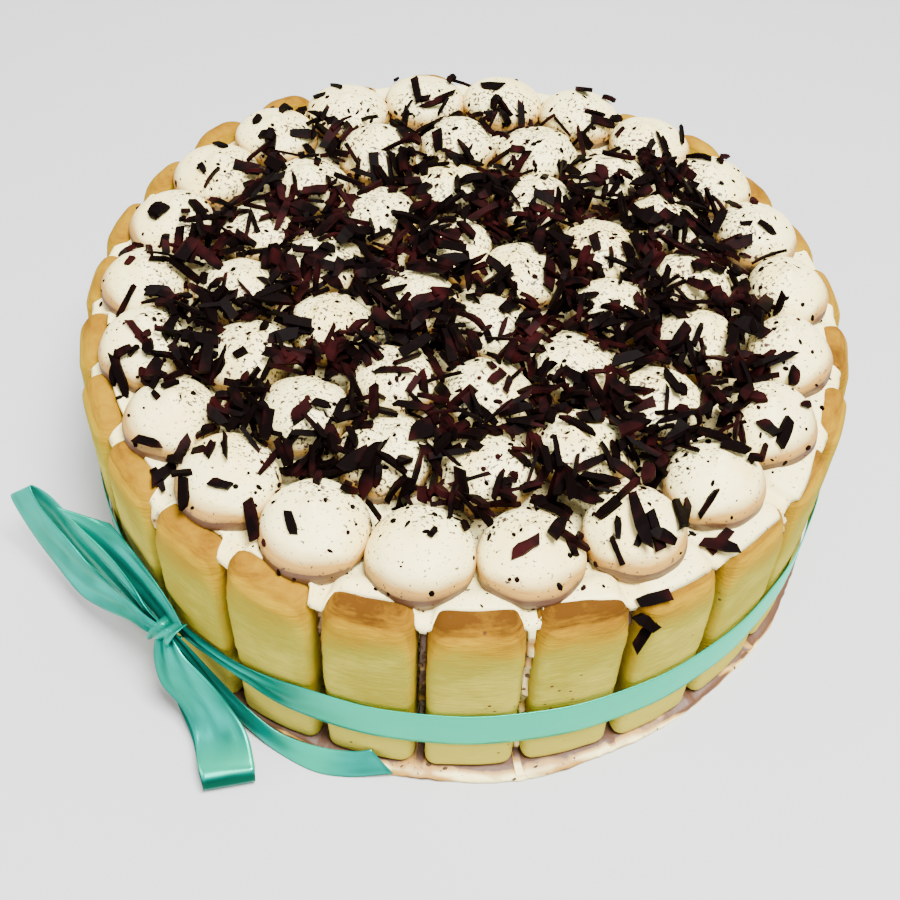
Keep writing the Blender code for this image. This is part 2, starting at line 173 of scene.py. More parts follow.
def turnedFaces(rows, columns):
    # quads between the rows of a turned form, with a fan to a last point at each end
    faces = []
    ends = (rows * columns, rows * columns + 1)
    for column in range(columns):
        after = (column + 1) % columns
        for row in range(rows - 1):
            low, high = row * columns, (row + 1) * columns
            faces.append((low + column, low + after, high + after, high + column))
        faces.append((ends[0], after, column))
        faces.append((ends[1], (rows - 1) * columns + column, (rows - 1) * columns + after))
    return faces


def finish(piece, slot, *nodes):
    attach(piece, "root")
    if nodes:
        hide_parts(*nodes)
    return piece


def addNode(tree, kind, inputs=None, **settings):
    # inputs go by name or number, and each is a value or another node's output
    node = tree.nodes.new(kind)
    for label, value in settings.items():
        setattr(node, label, value)
    for label, value in (inputs or {}).items():
        if isinstance(value, bpy.types.NodeSocket):
            tree.links.new(value, node.inputs[label])
        else:
            node.inputs[label].default_value = value
    return node


# Materials

def startMaterial(name, values):
    material = bpy.data.materials.new(name)
    material.use_nodes = True
    for label, value in values.items():
        material.node_tree.nodes["Principled BSDF"].inputs[label].default_value = value
    return material, material.node_tree


def objectPlace(tree, scale=(1, 1, 1)):
    place = addNode(tree, "ShaderNodeTexCoord").outputs["Object"]
    return addNode(tree, "ShaderNodeMapping", {"Vector": place, "Scale": scale}).outputs["Vector"]


def noiseAt(tree, place, scale, detail=3.0, roughness=0.5):
    inputs = {"Vector": place, "Scale": scale, "Detail": detail, "Roughness": roughness}
    return addNode(tree, "ShaderNodeTexNoise", inputs).outputs["Fac"]


def ramp(tree, value, *stops):
    # stops are (position, colour), or (position, grey level)
    node = addNode(tree, "ShaderNodeValToRGB", {"Fac": value})
    marks = node.color_ramp.elements
    for number, (position, colour) in enumerate(stops):
        mark = marks[number] if number < 2 else marks.new(position)
        mark.position = position
        mark.color = (*colour, 1.0) if isinstance(colour, tuple) else (colour, colour, colour, 1.0)
    return node.outputs["Color"]


def blend(tree, share, low, high):
    inputs = {0: share, 6: low, 7: (*high, 1.0)}
    return addNode(tree, "ShaderNodeMix", inputs, data_type="RGBA").outputs[2]


def maths(tree, operation, first, second):
    return addNode(tree, "ShaderNodeMath", {0: first, 1: second}, operation=operation).outputs[0]


def swayed(tree, value, cloud, amount):
    # adds noise that swings about zero
    swing = maths(tree, "MULTIPLY", maths(tree, "SUBTRACT", cloud, 0.5), amount)
    return maths(tree, "ADD", value, swing)


def readAttribute(tree, name):
    return addNode(tree, "ShaderNodeAttribute", attribute_name=name).outputs["Fac"]


def setLook(tree, colour, *bumps):
    # bumps are (height, strength, distance in metres), laid over each other
    shader = tree.nodes["Principled BSDF"]
    tree.links.new(colour, shader.inputs["Base Color"])
    inputs = {}
    for height, strength, distance in bumps:
        inputs.update({"Height": height, "Strength": strength, "Distance": distance})
        inputs["Normal"] = addNode(tree, "ShaderNodeBump", inputs).outputs["Normal"]
    tree.links.new(inputs["Normal"], shader.inputs["Normal"])


creamLook = {
    "pale": (0.98, 0.86, 0.40),
    "warm": (0.94, 0.74, 0.26),
    # tan and dark are the colours of painted shade, and of the foot's streaks
    "tan": (0.44, 0.235, 0.035),
    "dark": (0.09, 0.035, 0.012),
    "cocoa": (0.045, 0.018, 0.012),
    "roughness": 0.52,
}


def makeCream():
    material, tree = startMaterial("whippedCream", {
        "Roughness": creamLook["roughness"], "Subsurface Weight": 0.12,
        "Subsurface Radius": (1.0, 0.75, 0.5), "Subsurface Scale": 1.5 * mm})
    place = objectPlace(tree)
    cloud = noiseAt(tree, place, 55.0, 4.0, 0.6)
    colour = ramp(tree, cloud, (0.30, creamLook["warm"]), (0.52, creamLook["pale"]))
    # painted shade, read from the shade attribute: tan at the dollops' feet and in the joints, darkest in painted
    # contact shadows and deep joints; the foot's tan and brown streaks come through here too
    shadeLevel = swayed(tree, readAttribute(tree, "shade"), cloud, 0.5)
    for tone, low, high in (("tan", 0.10, 0.62), ("dark", 0.72, 1.05)):
        colour = blend(tree, ramp(tree, shadeLevel, (low, 0.0), (high, 1.0)), colour, creamLook[tone])
    # cocoa dust: fine grains where the dust attribute is high
    dust = maths(tree, "MULTIPLY", readAttribute(tree, "dust"), noiseAt(tree, place, 130.0, 2.0))
    level = maths(tree, "ADD", noiseAt(tree, place, 900.0, 2.0, 0.6), maths(tree, "MULTIPLY", dust, 0.30))
    colour = blend(tree, ramp(tree, level, (0.66, 0.0), (0.72, 1.0)), colour, creamLook["cocoa"])
    fine = noiseAt(tree, place, 650.0, 3.0, 0.65)
    streak = noiseAt(tree, objectPlace(tree, (1, 1, 4)), 140.0, 3.0)
    setLook(tree, colour, (streak, 0.6, 0.7 * mm), (fine, 0.4, 0.2 * mm))
    return material


spongeLook = {
    "pale": (0.50, 0.42, 0.050),
    "olive": (0.34, 0.29, 0.020),
    "golden": (0.37, 0.215, 0.002),
    "brown": (0.22, 0.10, 0.002),
    "burnt": (0.08, 0.03, 0.002),
    "pit": (0.08, 0.035, 0.01),
}


def makeSponge():
    material, tree = startMaterial("bakedSponge", {"Roughness": 0.85, "Specular IOR Level": 0.08})
    place = objectPlace(tree)
    fibre = noiseAt(tree, objectPlace(tree, (1, 1, 7)), 170.0, 4.0, 0.65)
    level = swayed(tree, readAttribute(tree, "toast"), noiseAt(tree, place, 70.0, 4.0, 0.6), 0.45)
    colour = ramp(tree, swayed(tree, level, fibre, 0.42), (0.02, spongeLook["pale"]), (0.24, spongeLook["olive"]),
                  (0.52, spongeLook["golden"]), (0.82, spongeLook["brown"]), (1.0, spongeLook["burnt"]))
    # dark pits here and there
    pits = addNode(tree, "ShaderNodeTexVoronoi", {"Vector": place, "Scale": 260.0}).outputs["Distance"]
    rare = ramp(tree, noiseAt(tree, place, 45.0, 1.0), (0.56, 1.0), (0.63, 0.0))
    pitted = ramp(tree, maths(tree, "ADD", pits, rare), (0.10, 1.0), (0.17, 0.0))
    colour = blend(tree, pitted, colour, spongeLook["pit"])
    crumbs = noiseAt(tree, place, 520.0, 4.0, 0.7)
    setLook(tree, colour, (pitted, -0.6, 0.5 * mm), (fibre, 0.6, 0.7 * mm), (crumbs, 0.35, 0.3 * mm))
    return material


# two tones in patches, with a fine grain over them
chocolateLook = {
    "shader": {"Roughness": 0.55, "Specular IOR Level": 0.02},
    "patches": (110.0, (0.49, (0.0020, 0.0008, 0.0008)), (0.80, (0.024, 0.0034, 0.0038))),
    "grain": (700.0, 0.4),
}
soakedLook = {
    "shader": {"Roughness": 0.8},
    "patches": (260.0, (0.42, (0.02, 0.008, 0.004)), (0.70, (0.22, 0.11, 0.035))),
    "grain": (900.0, 0.5),
}


def makePatchy(name, look):
    material, tree = startMaterial(name, look["shader"])
    place = objectPlace(tree)
    scale, *stops = look["patches"]
    colour = ramp(tree, noiseAt(tree, place, scale, 2.0), *stops)
    scale, strength = look["grain"]
    setLook(tree, colour, (noiseAt(tree, place, scale), strength, 0.2 * mm))
    return material


satinLook = {
    "deep": (0.001, 0.06, 0.035),
    "mid": (0.0005, 0.125, 0.075),
    "light": (0.0005, 0.38, 0.31),
    "faded": (0.001, 0.46, 0.27),
    "shine": (0.05, 1.0, 0.8),
}


def makeSatin():
    shine = (*satinLook["shine"], 1.0)
    material, tree = startMaterial("satinRibbon", {
        "Roughness": 0.30, "Anisotropic": 0.5, "Metallic": 0.6, "Sheen Weight": 0.06, "Sheen Roughness": 0.35,
        "Sheen Tint": shine, "Specular IOR Level": 0.15, "Specular Tint": shine})
    uv = addNode(tree, "ShaderNodeUVMap", uv_map="alongRibbon").outputs["UV"]
    threads = addNode(tree, "ShaderNodeTexWave", {"Vector": uv, "Scale": 9.0, "Distortion": 0.3},
                      bands_direction="Y").outputs["Fac"]
    # streaks of lighter teal along the ribbon: a painted sheen
    soft = addNode(tree, "ShaderNodeMapping", {"Vector": uv, "Scale": (40.0, 1.2, 1.0)}).outputs["Vector"]
    cloud = noiseAt(tree, soft, 1.0, 2.0)
    colour = ramp(tree, cloud, (0.28, satinLook["mid"]), (0.66, satinLook["light"]))
    # painted sheen where the tone is above zero, painted shade in folds where it is below
    for name, tone in (("faded", "faded"), ("fold", "deep")):
        colour = blend(tree, readAttribute(tree, name), colour, satinLook[tone])
    setLook(tree, colour, (threads, 0.08, 0.1 * mm), (cloud, 0.3, 0.8 * mm))
    return material


cream = makeCream()
sponge = makeSponge()
chocolate = makePatchy("darkChocolate", chocolateLook)
soakedCrumb = makePatchy("soakedCrumb", soakedLook)
satin = makeSatin()
print("materials ready")


# Sponge fingers, one piece for each

spongeFinger = {
    "innerRadius": 112.7 * mm,
    "outerRadius": 125.0 * mm,
    "foot": 1.6 * mm,
    "joint": 1.25 * mm,         # half the space between two fingers
    "topCorner": (5.2 * mm, 10.5 * mm),     # round the front, round the back
    "bottomCorner": 4.0 * mm,
    "outerEdge": 3.0 * mm,
    "topEdge": 5.2 * mm,        # added to the outer edge's roundness at the top
    "innerEdge": 2.0 * mm,
    "crown": 0.9 * mm,
    "lean": 1.8 / 73.0,
    "slopeStart": 58.0 * mm,
    "frontSlope": 2.2 / 15.0,   # the inner face leans out towards the top
    "backSlope": 1.4 / 15.0,
    "tall": 18,
    "tallLean": 2.6 * mm,
    "pressed": 0.45 * mm,       # by the ribbon
    "lump": 0.30 * mm,
    "browned": 21 * mm,         # how far down from the top
    "steps": (22, 46, 8),
}


def slabLattice(steps):
    # the points on the surface of a unit block, each once, and the quads between them
    index = {}
    for key in itertools.product(*(range(count + 1) for count in steps)):
        if any(place in (0, count) for place, count in zip(key, steps)):
            index[key] = len(index)
    faces = []
    for axis in range(3):
        second, third = (axis + 1) % 3, (axis + 2) % 3
        for end in (0, steps[axis]):
            for m, n in itertools.product(range(steps[second]), range(steps[third])):
                quad = []
                for right, up in ((0, 0), (1, 0), (1, 1), (0, 1)):
                    key = [0, 0, 0]
                    key[axis], key[second], key[third] = end, m + right, n + up
                    quad.append(index[tuple(key)])
                faces.append(quad)
    return np.array(list(index), float) / steps, faces


def rounded(first, second):
    # bends a square corner, given from its inner point, into a round one
    both = (first > 0) & (second > 0)
    reach = np.hypot(first, second)
    scale = np.where(both, np.maximum(first, second) / np.where(reach > 0, reach, 1.0), 1.0)
    return first * scale, second * scale


def fingerAngle(number):
    return (number + 0.5) * pitch


def fingerLean(number):
    return spongeFinger["tallLean"] if number == spongeFinger["tall"] else 0.0


def halfWidth(radius):
    half = math.radians(0.5 * pitch)
    return radius * math.tan(half) - spongeFinger["joint"] / math.cos(half)


def backShare(angle):
    # 0 round the front, 1 round the back
    return smooth(0.05, 0.45, np.sin(np.radians(angle)))


fingerTops = [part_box(f"finger_{number + 1:02d}")[1].z - fingerLean(number) for number in range(fingerCount)]
latticePoints, latticeFaces = slabLattice(spongeFinger["steps"])


def makeFinger(number):
    look = spongeFinger
    back = float(backShare(fingerAngle(number)))
    top = fingerTops[number]
    tall = 0.5 * (top - look["foot"])
    thick = look["outerRadius"] - look["innerRadius"]
    wide = halfWidth(look["innerRadius"] + 0.5 * thick) + dice.uniform(-0.25, 0.15) * mm
    line = 2.0 * latticePoints[:, 0] - 1.0
    across = wide * (0.55 * line + 0.45 * np.sin(0.5 * math.pi * line))
    line = 2.0 * latticePoints[:, 1] - 1.0
    high = tall * (0.75 * line + 0.25 * np.sin(0.5 * math.pi * line))
    deep = thick * latticePoints[:, 2]
    # round corners in the face
    corner = np.where(high > 0, mix(*look["topCorner"], back), look["bottomCorner"])
    over = np.abs(across) - (wide - corner)
    above = np.abs(high) - (tall - corner)
    inCorner = (over > 0) & (above > 0)
    over, above = rounded(over, above)
    across = np.sign(across) * (over + wide - corner)
    high = np.sign(high) * (above + tall - corner)
    reach = np.where(inCorner, np.hypot(over, above), 1.0)
    sideFirst = (wide - np.abs(across)) < (tall - np.abs(high))
    edge = np.where(inCorner, corner - reach, np.minimum(wide - np.abs(across), tall - np.abs(high)))
    inX = np.where(inCorner, over / np.where(reach > 0, reach, 1.0), sideFirst * 1.0) * np.sign(across)
    inZ = np.where(inCorner, above / np.where(reach > 0, reach, 1.0), ~sideFirst * 1.0) * np.sign(high)
    # round edges between the faces
    outer = look["outerEdge"] + look["topEdge"] * smooth(0.55 * tall, tall, high)
    for size, depth, sign in ((outer, thick - deep, 1.0), (np.full_like(outer, look["innerEdge"]), deep, -1.0)):
        first, second = size - edge, size - depth
        newFirst, newSecond = rounded(first, second)
        across = across - inX * (first - newFirst)
        high = high - inZ * (first - newFirst)
        deep = deep + sign * (newSecond - second)
    # the finger's own taper, lean and crown
    share = deep / thick
    up = high + tall + look["foot"]
    slope = mix(look["frontSlope"], look["backSlope"], back)
    radius = look["innerRadius"] + deep + look["crown"] * (1.0 - (across / wide) ** 2) * share
    radius += slope * np.maximum(0.0, up - look["slopeStart"]) * (1.0 - share) - look["lean"] * up * share
    underBand = smooth(15 * mm, 18 * mm, up) * smooth(36 * mm, 33 * mm, up)
    radius -= look["pressed"] * underBand * share
    centre = look["innerRadius"] + 0.5 * thick
    across = across * np.array([halfWidth(r) for r in radius]) / halfWidth(centre)
    up = up - fingerLean(number) * (across / wide) * smooth(0.3 * top, top, up)
    angle = fingerAngle(number) + dice.uniform(-0.12, 0.12)
    points = np.stack([radius + dice.uniform(-0.45, 0.1) * mm, across, up], 1)
    turn = np.array(Matrix.Rotation(math.radians(angle), 3, "Z"))
    points = fitToRing(points @ turn.T)
    # browning: over the top, a little along the edges, and in patches
    rim = np.exp(-edge / (1.2 * mm))
    down = look["browned"]
    band = np.clip((up - top + down + 2.0 * mm * lumps(points, 9 * mm, 31.0)) / down, 0.0, 1.0) ** 1.6
    middle = math.exp(-((fingerAngle(number) - 272.0) / 22.0) ** 4)
    far = float(smooth(236.0, 222.0, fingerAngle(number)))
    toast = 0.14 + 0.16 * rim + (dice.uniform(0.44, 0.58) + 0.18 * middle - 0.10 * back) * band
    toast += dice.uniform(-0.03, 0.05) + 0.05 * (1.0 - middle) - 0.10 * far * (1.0 - back)
    toast -= 0.26 * smooth(30 * mm, 20 * mm, up)
    toast += 0.10 * lumps(points, 14 * mm, number)
    piece = newPiece(f"spongeFinger{number + 1:02d}", points, latticeFaces, sponge, toast=toast)
    wrinkles = lumps(points, 11 * mm, 3.0 + number) + 0.5 * lumps(points * (1, 1, 3), 5 * mm, 9.0)
    pushOut(piece, look["lump"] * wrinkles * (1.0 - 0.8 * underBand))
    return finish(piece, "sponge", f"finger_{number + 1:02d}")


spongeFingers = [makeFinger(number) for number in range(fingerCount)]
print("sponge fingers:", len(spongeFingers))


# Cream that fills the ring, laps over the fingers' tops, shows in the joints and is squeezed out below

creamBody = {
    "top": 70.2 * mm,
    "backLevel": 70.0 * mm,
    "notchLevel": 70.6 * mm,
    "overFinger": 0.45 * mm,
    # how far out it laps over the fingers' tops, as (angle, radius in mm) all round
    "lip": ((0, 115.0), (20, 114.2), (170, 114.2), (228, 114.6), (240, 115.2), (284, 116.4), (296, 121.0),
            (322, 121.8), (338, 117.0)),
    "notchLip": 120.4 * mm,
    "behind": 113.4 * mm,
    "jointTips": (118.6 * mm, 121.2 * mm),     # how far out it stands in a dark joint and in a full one
    "fullJoints": (0, 3, 8, 12, 14, 17, 21, 24),
    "jointRough": 2.0 * mm,
    "jointFrom": 117 * mm,      # radius, and the heights between which a joint shows its cream
    "jointLevels": (3 * mm, 66 * mm),
    "foot": 127.2 * mm,
    "footBulge": 2.8 * mm,
    "footBulgeAngle": 280.0,
    "footBulgeSpread": 22.0,
    "flatRadii": (20, 45, 65, 80, 86, 90, 94, 98, 101, 104, 106, 107.5, 109, 110.5, 112, 113),
    "lipShares": (0.2, 0.4, 0.6, 0.75, 0.88, 1.0),
    "wallRows": 30,
}


def footRadius(angle):
    away = (angle % 360.0 - creamBody["footBulgeAngle"]) / creamBody["footBulgeSpread"]
    wave = 0.35 * mm * np.sin(np.radians(7.0 * angle)) + 0.3 * mm * np.sin(np.radians(17.0 * angle))
    return creamBody["foot"] + creamBody["footBulge"] * np.exp(-away * away) + wave


def makeCreamBody():
    look = creamBody
    offsets = [0.0, 0.015, 0.03, 0.045, 0.06, 0.08, 0.10, 0.125, 0.155, 0.19, 0.24, 0.32, 0.41]
    cell = [-offset for offset in offsets[:0:-1]] + offsets + [0.5]
    angles = np.array([(joint + share) * pitch for joint in range(fingerCount) for share in cell])
    number = np.floor(angles / pitch).astype(int) % fingerCount
    tops = np.array(fingerTops)[number]
    aside = np.radians((angles / pitch) % 1.0 * pitch - 0.5 * pitch)   # from the finger's middle
    back = backShare(angles)
    tips = np.stack([np.cos(np.radians(angles)), np.sin(np.radians(angles)), 0.0 * angles], 1)
    corner = mix(*spongeFinger["topCorner"], back)

    def sideAt(radius, height):
        # how far a place is outside its finger's side, below zero inside it
        wide = radius * math.tan(math.radians(0.5 * pitch)) - spongeFinger["joint"]
        rise = np.clip(height - (tops - corner), 0.0, corner)
        return np.abs(radius * np.sin(aside)) - (wide - corner + np.sqrt(corner ** 2 - rise ** 2))

    wide = halfWidth(118 * mm)
    into = np.clip(np.abs(118 * mm * np.sin(aside)) - (wide - corner), 0.0, corner)
    skyline = tops - corner + np.sqrt(corner ** 2 - into ** 2)
    front = np.maximum(skyline + look["overFinger"], look["notchLevel"])
    lapped = mix(front, look["backLevel"], back)
    inNotch = smooth(-1.4 * mm, 0.6 * mm, sideAt(118 * mm, 71.5 * mm * np.ones_like(tops)))
    wander = lumps(tips, 0.12, 5.0) * 0.8 * mm
    lip = mix(aroundRing(look["lip"], angles) * mm + wander, look["notchLip"] + 0.4 * wander, inNotch)
    full = np.isin(np.round(angles / pitch) % fingerCount, look["fullJoints"]) * 1.0
    rows = []
    for flat in look["flatRadii"]:
        radius = np.full_like(angles, flat * mm)
        rows.append((radius, mix(look["top"], lapped, smooth(106 * mm, 112.5 * mm, radius))))
    for share in look["lipShares"]:
        drop = 1.6 * mm * max(0.0, (share - 0.7) / 0.3) ** 2
        rows.append((mix(113 * mm, lip, share), lapped - drop))
    start = rows[-1][1]
    for step in range(1, look["wallRows"] + 1):
        height = mix(start, 2.6 * mm, step / look["wallRows"])
        opened = smooth(-0.25 * mm, 0.2 * mm, sideAt(119 * mm, height))
        spots = np.stack([tips[:, 0] * 119, tips[:, 1] * 119, height / mm], 1)
        rough = look["jointRough"] * lumps(spots, 3.2, 2.0)
        tip = mix(look["notchLip"], mix(*look["jointTips"], full) + rough, smooth(0.0, 5 * mm, start - height))
        rows.append((mix(look["behind"], tip, opened), height))
    last = rows[-1][0]
    foot = footRadius(angles) + 0.5 * mm * lumps(tips, 0.02, 7.0)
    swell = 0.5 * mm * lumps(tips, 0.035, 8.0)
    for share, height in ((0.35, 2.3), (0.7, 2.1), (0.9, 1.9), (0.97, 1.4), (1.0, 0.8), (0.98, 0.15)):
        rows.append((mix(last, foot, share), np.maximum(height * mm + swell * (height > 1.0), 0.1 * mm)))
    rows.append((mix(last, foot, 0.93), np.zeros_like(angles)))
    points = [(*(radius[k] * tips[k, :2]), height[k]) for radius, height in rows for k in range(len(angles))]
    points = np.array([*points, (0, 0, look["top"]), (0, 0, 0)])
    far, level = np.hypot(points[:, 0], points[:, 1]), points[:, 2]
    column = np.arange(len(points)) % len(angles)
    onTop = level > 69.8 * mm
    lowest, highest = look["jointLevels"]
    outside = far > look["jointFrom"]
    inJoint = outside & (level < highest) & (level > lowest)
    atFoot = outside & (level < lowest) & (level > 0.3 * mm)
    dust = np.where(onTop, 0.05 + 0.5 * smooth(112 * mm, 92 * mm, far), 0.0)
    # painted shade in the joints between the fingers: dark in the deep joints, lighter in the full ones, in patches
    shade = (mix(1.10, 0.42, full[column]) + 0.9 * lumps(points, 3.5 * mm, 12.0)) * inJoint
    # at the foot: tan with brown streaks along the ring, and a painted contact shadow in a line right under the
    # fingers
    arcs = lumps(np.stack([0.012 * tips[column, 0], far, level], 1), 1.6 * mm, 13.0)
    footStreaks = 0.30 + 1.5 * arcs + 0.5 * lumps(points, 6 * mm, 14.0)
    shade += (footStreaks + 1.1 * smooth(127.9 * mm, 126.0 * mm, far)) * atFoot
    points = fitToRing(points)
    piece = newPiece("creamBody", points, turnedFaces(len(rows), len(angles)), cream, dust=dust, shade=shade,
                     speck=onTop * smooth(119 * mm, 108 * mm, far), crumb=1.0 * inJoint + 0.10 * atFoot)
    strokes = lumps(points * (1, 1, 0.4), 7 * mm, 4.0) * 0.35 * mm + lumps(points, 2.6 * mm, 6.0) * 0.10 * mm
    pushOut(piece, strokes * onTop * smooth(60 * mm, 90 * mm, far))
    return finish(piece, "cream", "cake_body")


body = makeCreamBody()
print("cream body:", len(body.data.polygons), "faces")


# Piped dollops

dollop = {
    "outerCount": 22,
    "outerRing": 102.4 * mm,
    "firstAngle": 265.0,
    "outerRadius": 14.8 * mm,
    "outerHeight": 14.0 * mm,
    "innerRings": ((72.0 * mm, 16), (45.5 * mm, 10), (18.0 * mm, 4)),
    "innerRadius": 13.9 * mm,
    "innerHeight": 13.4 * mm,
    "rows": 26,
    "columns": 48,
    "undercut": 26.0,          # degrees of the dome below its widest ring
    "peakHeight": 2.0 * mm,
    "peakWidth": 0.20,
    "fold": 0.55 * mm,
}


def dollopForm(middle, radius, height, lean, ridges, seed):
    rows, columns = dollop["rows"], dollop["columns"]
    under = math.radians(dollop["undercut"])
    points = []
    for row in range(rows):
        rise = mix(-under, 0.5 * math.pi, row / rows)
        wide = max(math.cos(rise), 0.0) ** 0.88
        share = (math.sin(rise) + math.sin(under)) / (1.0 + math.sin(under))
        up = height * share + dollop["peakHeight"] * math.exp(-(wide / dollop["peakWidth"]) ** 2)
        for column in range(columns):
            turn = 360.0 * column / columns
            wave = 1.0 + ridges * math.cos(math.radians(8 * turn + 90 * share + 50 * seed)) * (1.0 - share ** 2)
            points.append(middle + lean * share ** 2.5 + polar(radius * wide * wave, turn, up))
    points.append(middle.copy())
    points.append(middle + lean + Vector((0, 0, height + dollop["peakHeight"])))
    points = np.array([tuple(point) for point in points])
    low = smooth(middle.z + 0.75 * height, middle.z, points[:, 2])
    out = points - np.array(middle)
    out[:, 2] = 0
    out /= np.maximum(np.linalg.norm(out, axis=1), 1e-6)[:, None]
    folds = lumps(points * (1, 1, 3.2), 6.5 * mm, seed) * low * dollop["fold"]
    folds += lumps(points, 9 * mm, seed + 4.0) * 0.45 * mm
    form = points + out * folds[:, None]
    # painted shade: darker towards the foot, from where it leaves the flat cream, with a painted contact shadow in a
    # thin line at the foot
    far = np.hypot(form[:, 0], form[:, 1])
    angle = np.degrees(np.arctan2(form[:, 1], form[:, 0]))
    rim = mix(2.6 * mm, 0.0, backShare(angle)) * smooth(106 * mm, 112.5 * mm, far)
    above = form[:, 2] - creamBody["top"] - rim
    shade = 0.85 * smooth(9.5 * mm, 2.5 * mm, above) + 0.9 * smooth(2.9 * mm, 1.5 * mm, above)
    return form, turnedFaces(rows, columns), shade


def outerDollop(number):
    angle = dollop["firstAngle"] + number * 360.0 / dollop["outerCount"]
    radius = dollop["outerRadius"] * dice.uniform(0.97, 1.02)
    back = float(backShare(angle))
    height = dollop["outerHeight"] * dice.uniform(0.92, 1.06) * mix(1.0, 0.90, back)
    ring = dollop["outerRing"] + dice.uniform(-0.6, 0.4) * mm - 1.2 * mm * back
    middle = polar(ring, angle, creamBody["top"] - 0.3 * mm)
    lean = polar(dice.uniform(1.5, 3.5) * mm, angle + dice.uniform(140, 220))
    points, faces, shade = dollopForm(middle, radius, height, lean, 0.0, 10.0 + number)
    far = np.hypot(points[:, 0], points[:, 1])
    dust = 0.15 + 0.6 * smooth(106 * mm, 92 * mm, far)
    piece = newPiece(f"outerDollop{number + 1:02d}", fitToRing(points), faces, cream, dust=dust, shade=shade,
                     speck=0.32 + 0.68 * smooth(108 * mm, 94 * mm, far))
    return finish(piece, "cream", f"dollop_{number + 1:02d}")


def innerDollops():
    parts, shades = [], []
    for ring, (distance, count) in enumerate(dollop["innerRings"]):
        for number in range(count):
            angle = (number + 0.5 * ring + 0.25) * 360.0 / count
            middle = polar(distance + dice.uniform(-1, 1) * mm, angle, creamBody["top"] - 0.3 * mm)
            lean = polar(dice.uniform(1.5, 4.0) * mm, dice.uniform(0, 360))
            radius = dollop["innerRadius"] * dice.uniform(0.93, 1.02)
            height = dollop["innerHeight"] * dice.uniform(0.9, 1.1)
            *form, shade = dollopForm(middle, radius, height, lean, 0.045, 40.0 + 7 * ring + number)
            parts.append(form)
            shades.append(shade)
    points, faces = gathered(parts)
    ones = np.ones(len(points))
    piece = newPiece("innerDollops", fitToRing(points), faces, cream, dust=0.7 * ones, speck=ones,
                     shade=np.concatenate(shades))
    return finish(piece, "cream", "topping_heap")


outerDollops = [outerDollop(number) for number in range(dollop["outerCount"])]
inner = innerDollops()
print("dollops:", len(outerDollops), "outer, and", sum(count for ring, count in dollop["innerRings"]), "inner")


# Geometry Nodes: one tree lays pieces on given places, one sprinkles specks over a surface

def startTree(name, **inputs):
    tree = bpy.data.node_groups.new(name, "GeometryNodeTree")
    for label, kind in (("Geometry", "Geometry"), *inputs.items()):
        tree.interface.new_socket(label, in_out="INPUT", socket_type="NodeSocket" + kind)
    tree.interface.new_socket("Geometry", in_out="OUTPUT", socket_type="NodeSocketGeometry")
    return tree, addNode(tree, "NodeGroupInput").outputs


def endTree(tree, given, places, **inputs):
    # an instance on each place, made real and painted
    laid = addNode(tree, "GeometryNodeInstanceOnPoints", {"Points": places, **inputs})
    realized = addNode(tree, "GeometryNodeRealizeInstances", {"Geometry": laid.outputs["Instances"]})
    painted = addNode(tree, "GeometryNodeSetMaterial",
                      {"Geometry": realized.outputs["Geometry"], "Material": given["Material"]})
    addNode(tree, "NodeGroupOutput", {"Geometry": painted.outputs["Geometry"]})
    return tree, laid


def named(tree, label, kind="FLOAT_VECTOR"):
    return addNode(tree, "GeometryNodeInputNamedAttribute", {"Name": label}, data_type=kind).outputs["Attribute"]


def scaled(tree, vector, scale):
    inputs = {0: vector, "Scale": scale}
    return addNode(tree, "ShaderNodeVectorMath", inputs, operation="SCALE").outputs["Vector"]


def laidPiecesTree():
    tree, given = startTree("laidPieces", Shapes="Collection", Size="Float", Material="Material")
    shapes = addNode(tree, "GeometryNodeCollectionInfo",
                     {"Collection": given["Shapes"], "Separate Children": True, "Reset Children": True})
    turn = addNode(tree, "FunctionNodeEulerToRotation", {"Euler": named(tree, "turn")})
    tree, laid = endTree(tree, given, given["Geometry"], Instance=shapes.outputs["Instances"],
                         Rotation=turn.outputs["Rotation"], Scale=scaled(tree, named(tree, "size"), given["Size"]))
    laid.inputs["Pick Instance"].default_value = True
    tree.links.new(named(tree, "shape", "INT"), laid.inputs["Instance Index"])
    return tree


def sprinkledTree():
    tree, given = startTree("sprinkledSpecks", Density="Float", Where="String", Smallest="Float", Largest="Float",
                            Seed="Int", Material="Material")
    density = maths(tree, "MULTIPLY", named(tree, given["Where"], "FLOAT"), given["Density"])
    spots = addNode(tree, "GeometryNodeDistributePointsOnFaces",
                    {"Mesh": given["Geometry"], "Density": density, "Seed": given["Seed"]})
    grain = addNode(tree, "GeometryNodeMeshIcoSphere", {"Radius": 0.5, "Subdivisions": 1})
    length = addNode(tree, "FunctionNodeRandomValue", {2: given["Smallest"], 3: given["Largest"], "Seed": 3},
                     data_type="FLOAT").outputs[1]
    squash, spin = (addNode(tree, "FunctionNodeRandomValue", {0: low, 1: high}, data_type="FLOAT_VECTOR").outputs[0]
                    for low, high in (((0.5, 0.4, 0.3), (1.6, 1.0, 0.7)), ((-0.4, -0.4, 0.0), (0.4, 0.4, 6.283))))
    turn = addNode(tree, "FunctionNodeRotateRotation", {"Rotation": spots.outputs["Rotation"], "Rotate By": spin},
                   rotation_space="LOCAL")
    return endTree(tree, given, spots.outputs["Points"], Instance=grain.outputs["Mesh"],
                   Rotation=turn.outputs["Rotation"], Scale=scaled(tree, squash, length))[0]


def runTree(holder, tree, name, **values):
    modifier = holder.modifiers.new("nodes", "NODES")
    modifier.node_group = tree
    for item in tree.interface.items_tree:
        if item.in_out == "INPUT" and item.name in values:
            modifier[item.identifier] = values[item.name]
    bpy.context.view_layer.update()
    mesh = bpy.data.meshes.new_from_object(holder.evaluated_get(bpy.context.evaluated_depsgraph_get()))
    holder.modifiers.remove(modifier)
    mesh.name = name
    return addObject(name, mesh)


# Dark chocolate shavings, piled one after another on the cream

